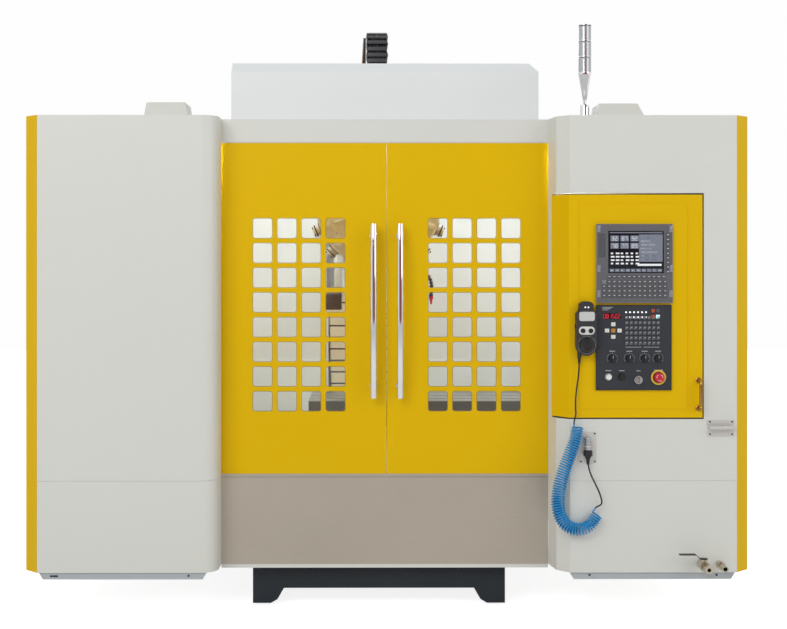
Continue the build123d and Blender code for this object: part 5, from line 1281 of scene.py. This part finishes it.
for angle in (-0.75 - math.pi / 2, 0.75 - math.pi / 2, -2.3 - math.pi / 2, 2.3 - math.pi / 2):
    for bead in range(6):
        hoses.turned(BEAD, (*polar(SPINDLE, 88 - 4 * bead, angle), 1193 - 13 * bead), "z", 20)
    tips.turned([(0, 0), (4, 0), (5.5, 16), (8, 20), (0, 20)], (*polar(SPINDLE, 66, angle), 1106), "z", 20)
hoses.piece("coolant_hoses", "head", "knob_black", surface("hose_joints", (36, 37, 42), 0.4, 0, 20, 0.08))
tips.piece("nozzle_tips", "head", "estop_red", surface("nozzle_red", (196, 36, 40), 0.4, 0, 20, 0.06))
side_unit = Shape()
side_unit.block((HEAD_LEFT - 30, HEAD_LEFT), (650, 760), (1360, 1560), 3)
side_unit.block((HEAD_LEFT - 82, HEAD_LEFT - 6), (690, 720), (1238, 1262), 2)
side_unit.block((HEAD_LEFT - 40, HEAD_LEFT - 6), (690, 720), (1262, 1400), 2)
side_unit.piece("air_unit_bracket", "head", "light_iron")
air_unit = Shape()
air_unit.block((HEAD_LEFT - 80, HEAD_LEFT - 10), (684, 726), (1164, 1238), 3)
for row in range(6):
    low = 1170 + row * 11
    air_unit.block((HEAD_LEFT - 83, HEAD_LEFT - 7), (681, 729), (low, low + 5), 1.5, 2)
air_gray = surface("air_unit_gray", (84, 82, 78), 0.45, 0.3, 9, 0.12, 300)
air_unit.piece("air_unit", "head", "black_motor", air_gray)
motor_fins = Shape()
for row in range(15):
    low = 1716 + row * 15
    motor_fins.block(around(AXIS_X, 91.5), (616.5, 799.5), (low, low + 5), 1, 2)
motor_fins.piece("spindle_motor_fins", "head", "black_motor")


# Electrical cabinet: hinges, swing handle, gasket edge, louvres and fan covers

DOOR_FACE = 2134.4
CABINET_HALF = 430
barrels = Shape()
leaf_barrels = Shape()
for z in (640, 1185, 1730):
    barrels.turned([(0, 0), (5.5, 0), (6.5, 1), (6.5, 33), (0, 33)], (-CABINET_HALF, 2135, z - 34), "z", 24)
    profile = [(0, 0), (6.5, 0), (6.5, 32), (5.5, 33), (0, 33)]
    leaf_barrels.turned(profile, (-CABINET_HALF, 2135, z + 1), "z", 24)
    barrels.block((-CABINET_HALF - 5, -CABINET_HALF), (2080, 2134), (z - 34, z - 2), 1, 2)
barrels.piece("cabinet_hinge_knuckles", "frame", "steel")
leaf_barrels.piece("cabinet_leaf_knuckles", "cabinet_leaf", "steel")
handle = Shape()
handle.block((366, 398), (DOOR_FACE, DOOR_FACE + 5), (1060, 1240), 2, 3)
handle.block((372, 392), (DOOR_FACE + 5, DOOR_FACE + 22), (1070, 1196), 5, 4)
handle.turned([(0, 0), (9, 0), (9, 6), (8, 7), (0, 7)], (382, DOOR_FACE + 5, 1218), "back", 24)
handle.piece("cabinet_handle", "cabinet_leaf", "knob_black")
louvres = Shape()
for low_z in (600, 1600):
    for row in range(11):
        z = low_z + row * 15
        tilt = Matrix.Rotation(math.radians(-32), 4, "X")
        louvres.block((-170, 170), (DOOR_FACE, DOOR_FACE + 3), around(z, 5.5), 1, 2, tilt)
louvres.piece("cabinet_louvres", "cabinet_leaf", "cabinet_gray")
fan_covers = Shape()
fan_mesh = Shape()
for side in (-1, 1):
    face = side * CABINET_HALF
    xs = sorted((face, face + side * 7))
    for z in (640, 1500):
        for low, high in (((1835, 1847), (z, z + 240)), ((2053, 2065), (z, z + 240))):
            fan_covers.block(xs, low, high, 2, 2)
        for low in (z, z + 228):
            fan_covers.block(xs, (1835, 2065), (low, low + 12), 2, 2)
        for row in range(13):
            fan_covers.block(xs, (1845, 2055), (z + 17 + row * 16, z + 25 + row * 16), 1.5, 2)
        fan_mesh.block(sorted((face, face + side * 2)), (1845, 2055), (z + 10, z + 230))
fan_covers.piece("cabinet_fan_covers", "frame", "cabinet_gray", paints["button_white"])
fan_mesh.piece("cabinet_fan_filters", "frame", "knob_black")
repaint("cabinet_door",
        joints=[zone((-404, 404), (2128, 2136), (506, 1864))],
        screws=[(zone((-180, 180), (2128, 2136), (z, z + 24)), ("x", "z"), (168, 24))
                for z in (560, 770, 1560, 1770)])
repaint("electrical_cabinet",
        lines=[zone((-432, 432), (1800, 2112), (1880, 1881.6))],
        screws=[(zone((-432, 432), (2080, 2104), (480, 1895)), ("depth", "z"), (24, 226))])


# Coolant tank: cover plates, pump caps and fins, filler, level gauge and drain

TANK_TOP = 330
TANK_REAR = 2130
PUMP_DEPTH = 1935.25
covers = Shape()
for low_x in (-180, 240):
    covers.block((low_x, low_x + 340), (1960, 2110), (TANK_TOP, TANK_TOP + 3), 1, 2)
    for x in (low_x + 14, low_x + 326):
        for depth in (1974, 2096):
            covers.turned([(0, 0), (6, 0), (6, 3), (4.5, 5), (0, 5)], (x, depth, TANK_TOP + 3), "z", 16)
covers.piece("tank_covers", "frame", "tank_gray")
grips = Shape()
for low_x in (-180, 240):
    middle = low_x + 170
    points = []
    for x, z in ((-48, 0), (-48, 22), (-42, 29), (-36, 31), (0, 31), (36, 31), (42, 29), (48, 22), (48, 0)):
        points.append(at(middle + x, 2035, TANK_TOP + 3 + z))
    grips.tube(points, 5, 12)
for x in (-480, -300):
    for angle in circle(24):
        fin = polar((x, PUMP_DEPTH), 61, angle)
        turn = Matrix.Rotation(angle, 4, "Z")
        grips.block(around(fin[0], 4), around(fin[1], 1.2), (352, 436), 0.5, 1, turn)
    grips.turned([(0, 0), (66, 0), (66, 4), (63, 8), (0, 8)], (x, PUMP_DEPTH, 438), "z", 40)
    grips.turned([(0, 0), (70, 0), (70, 6), (66, 9), (0, 9)], (x, PUMP_DEPTH, TANK_TOP), "z", 40)
    grips.block(around(x, 26), (PUMP_DEPTH + 58, PUMP_DEPTH + 88), (370, 420), 4, 3)
grips.piece("tank_grips_and_pump_fins", "frame", "black_motor")
trim = Shape()
trim.turned([(0, 0), (34, 0), (34, 3), (28, 5), (28, 15), (26, 18), (0, 18)], (-560, 2075, TANK_TOP), "z", 36)
trim.block((566, 594), (TANK_REAR - 1, TANK_REAR), (96, 284), 1, 2)
trim.turned([(0, 0), (13, 0), (13, 0.9), (0, 0.9)], (0, TANK_REAR - 1, 80), "back", 24)
trim.piece("tank_trim", "frame", "steel")
repaint("coolant_tank",
        joints=[zone((-560, 540), (2125, 2135), (110, 290))],
        screws=[(zone((-620, 620), (2125, 2135), (z, z + 24)), ("x", "z"), (203, 24))
                for z in (50, 296)])


# Magazine: hub cap, rings of screws, ribs and the lips of its pockets

magazine_steel = surface("carousel_steel", (212, 208, 198), 0.38, 0.1, 5.0, 0.04, 260, 0.00003)
MAGAZINE_Z = 1610
MAGAZINE_FRONT = 410
HUB = (AXIS_X, MAGAZINE_FRONT, MAGAZINE_Z)
AXIS = (AXIS_X, MAGAZINE_Z)
hub = Shape()
hub.turned([(0, 0), (62, 0), (62, 4), (58, 8), (40, 10), (36, 16), (0, 16)], HUB, "front", 48)
hub.turned([(206, 0), (212, 0), (212, 3), (210, 4), (208, 4), (206, 3), (206, 0)],
           HUB, "front", 96)
hub.turned([(254, 0), (261, 0), (261, 4), (259, 5), (256, 5), (254, 4), (254, 0)],
           HUB, "front", 96)
for angle in circle(16):
    for radius, half, rise in ((134, (5, 62), 7), (233, (13, 17), 4)):
        hub.spoke(AXIS, radius, angle, half, (MAGAZINE_FRONT - rise, MAGAZINE_FRONT), 2)
hub.piece("magazine_ribs", "magazine", "white_paint", magazine_steel)
screws = Shape()
for count, radius in ((8, 48), (16, 209)):
    spots = [polar(AXIS, radius, angle) for angle in circle(count, 0.5)]
    bolt_heads(screws, spots, MAGAZINE_FRONT - (8 if radius < 60 else 0), 5, 4)
screws.piece("magazine_screws", "magazine", "steel")
cups = Shape()
for angle in circle(16):
    for radius, size in ((262, 27), (281, 25), (291, 20)):
        cups.spoke(AXIS, radius, angle, (size, 2.5), around(445, size), 1.5)
cups.piece("magazine_pocket_lips_and_shade", "magazine", "black_motor")
nodes["magazine_disc"].material_slots[0].material = magazine_steel


# Table front and stops, strips beside the column cover, small screws, socket, console seal, pull handle
# and the bracket that holds the cable chain

table_front = Shape()
table_front.block((-324, 874), (493.3, 495.5), (681, 783), 0.6, 2)
for z in (704, 728):
    table_front.block((-318, 868), (491.8, 493.4), (z, z + 9), 0.5, 2)
rail_dark = surface("rail_dark", (88, 87, 86), 0.4, 0.4, 6, 0.06)
table_front.piece("table_front_rail", "table", "ground_iron", rail_dark)
stops = Shape()
for x in (-250, 120, 700):
    stops.block((x, x + 46), (489, 493), (700, 741), 2, 3)
stops.piece("table_stops", "table", "steel")
bright_sheet = surface("bright_sheet", (212, 212, 208), 0.32, 0.3, 3.0, 0.03, 400, 0.00002, (1, 1, 5))
nodes["wall_fittings"].material_slots[0].material = bright_sheet
cover_sides = Shape()
for side in ((-279.5, -262.5), (202.5, 219.5)):
    cover_sides.block(side, (1200.5, 1202.5), (520.5, 1236), 0.5, 1)
wall_paint = nodes["splash_guards"].material_slots[0].material
cover_sides.piece("cover_side_strips", "frame", "white_paint", wall_paint)
small_screws = Shape()
spots = [(741, 608), (794, 608), (741, 715), (794, 715), (1236, 760), (1321, 760), (1236, 712), (1321, 712)]
bolt_heads(small_screws, spots, -2, 3.2, 2)
small_screws.piece("plate_screws", "frame", "knob_black")
connector = Shape()
connector.turned([(11.6, 0), (13.4, 0), (13.4, 9), (12.4, 10), (11.6, 10), (11.6, 0)], (*PLUG, 656), "z", 32)
connector.turned([(11.6, 0), (14.6, 0), (14.6, 5), (11.6, 5), (11.6, 0)], (*PLUG, 673), "z", 6)
connector.turned([(11.6, 0), (12.6, 0), (12.6, 20), (11.6, 20), (11.6, 0)], (*PLUG, 680), "z", 32)
connector.turned([(0, 0), (11.9, 0), (11.9, 1), (0, 1)], (*PLUG, 703), "z", 32)
connector_metal = surface("connector_metal", (176, 177, 180), 0.25, 0.8, 20, 0.06)
connector.piece("socket_rings", "frame", "chrome", connector_metal)
seal = Shape()
for z in (772.5, 1632):
    outline = [(641, 68), (697, 0.5), (1209, 0.5), (1209, 3), (698.5, 3), (643, 70)]
    seal.prism(outline, "plan", z - 1.5, z + 2)
seal.block((1209, 1211.5), (0.5, 3), (771, 1634))
seal.piece("console_seal", "frame", "cord_black")
PULL_X = 1192
pull_line = [(-4, 812), (-14, 812), (-25, 812), (-31, 813.6), (-35.4, 818), (-37.5, 824), (-38, 832)]
pull_line.append((-38, 866))
pull_line += [(depth, 1731 - z) for depth, z in reversed(pull_line[:-1])]
pull = Shape().tube([at(PULL_X, depth, z) for depth, z in pull_line], 6.5, 20)
for z in (812, 919):
    pull.turned([(6.5, 0), (12, 0), (12, 2), (9, 4), (6.5, 4), (6.5, 0)], (PULL_X, -4, z), "front", 28)
pull.piece("pull_handle_skin", "console", "chrome", surface("pull_metal", (176, 134, 66), 0.2, 0.95, 9, 0.05))
bracket = Shape()
bracket.prism([(-108, 2240.6), (-83, 2240.6), (-83, 2460.4), (-94.8, 2460.4)], "front", 1254.5, 1295.5)
bracket.piece("chain_bracket_cover", "frame", "black_motor")
edge = Shape()
edge.prism([(-108.6, 2242), (-104, 2242), (-91.6, 2459), (-95.6, 2459)], "front", 1253.6, 1254.5)
edge_tan = surface("edge_tan", (186, 160, 128), 0.4, 0.3, 9, 0.05)
edge.piece("chain_bracket_edge", "frame", "valve_brass", edge_tan)
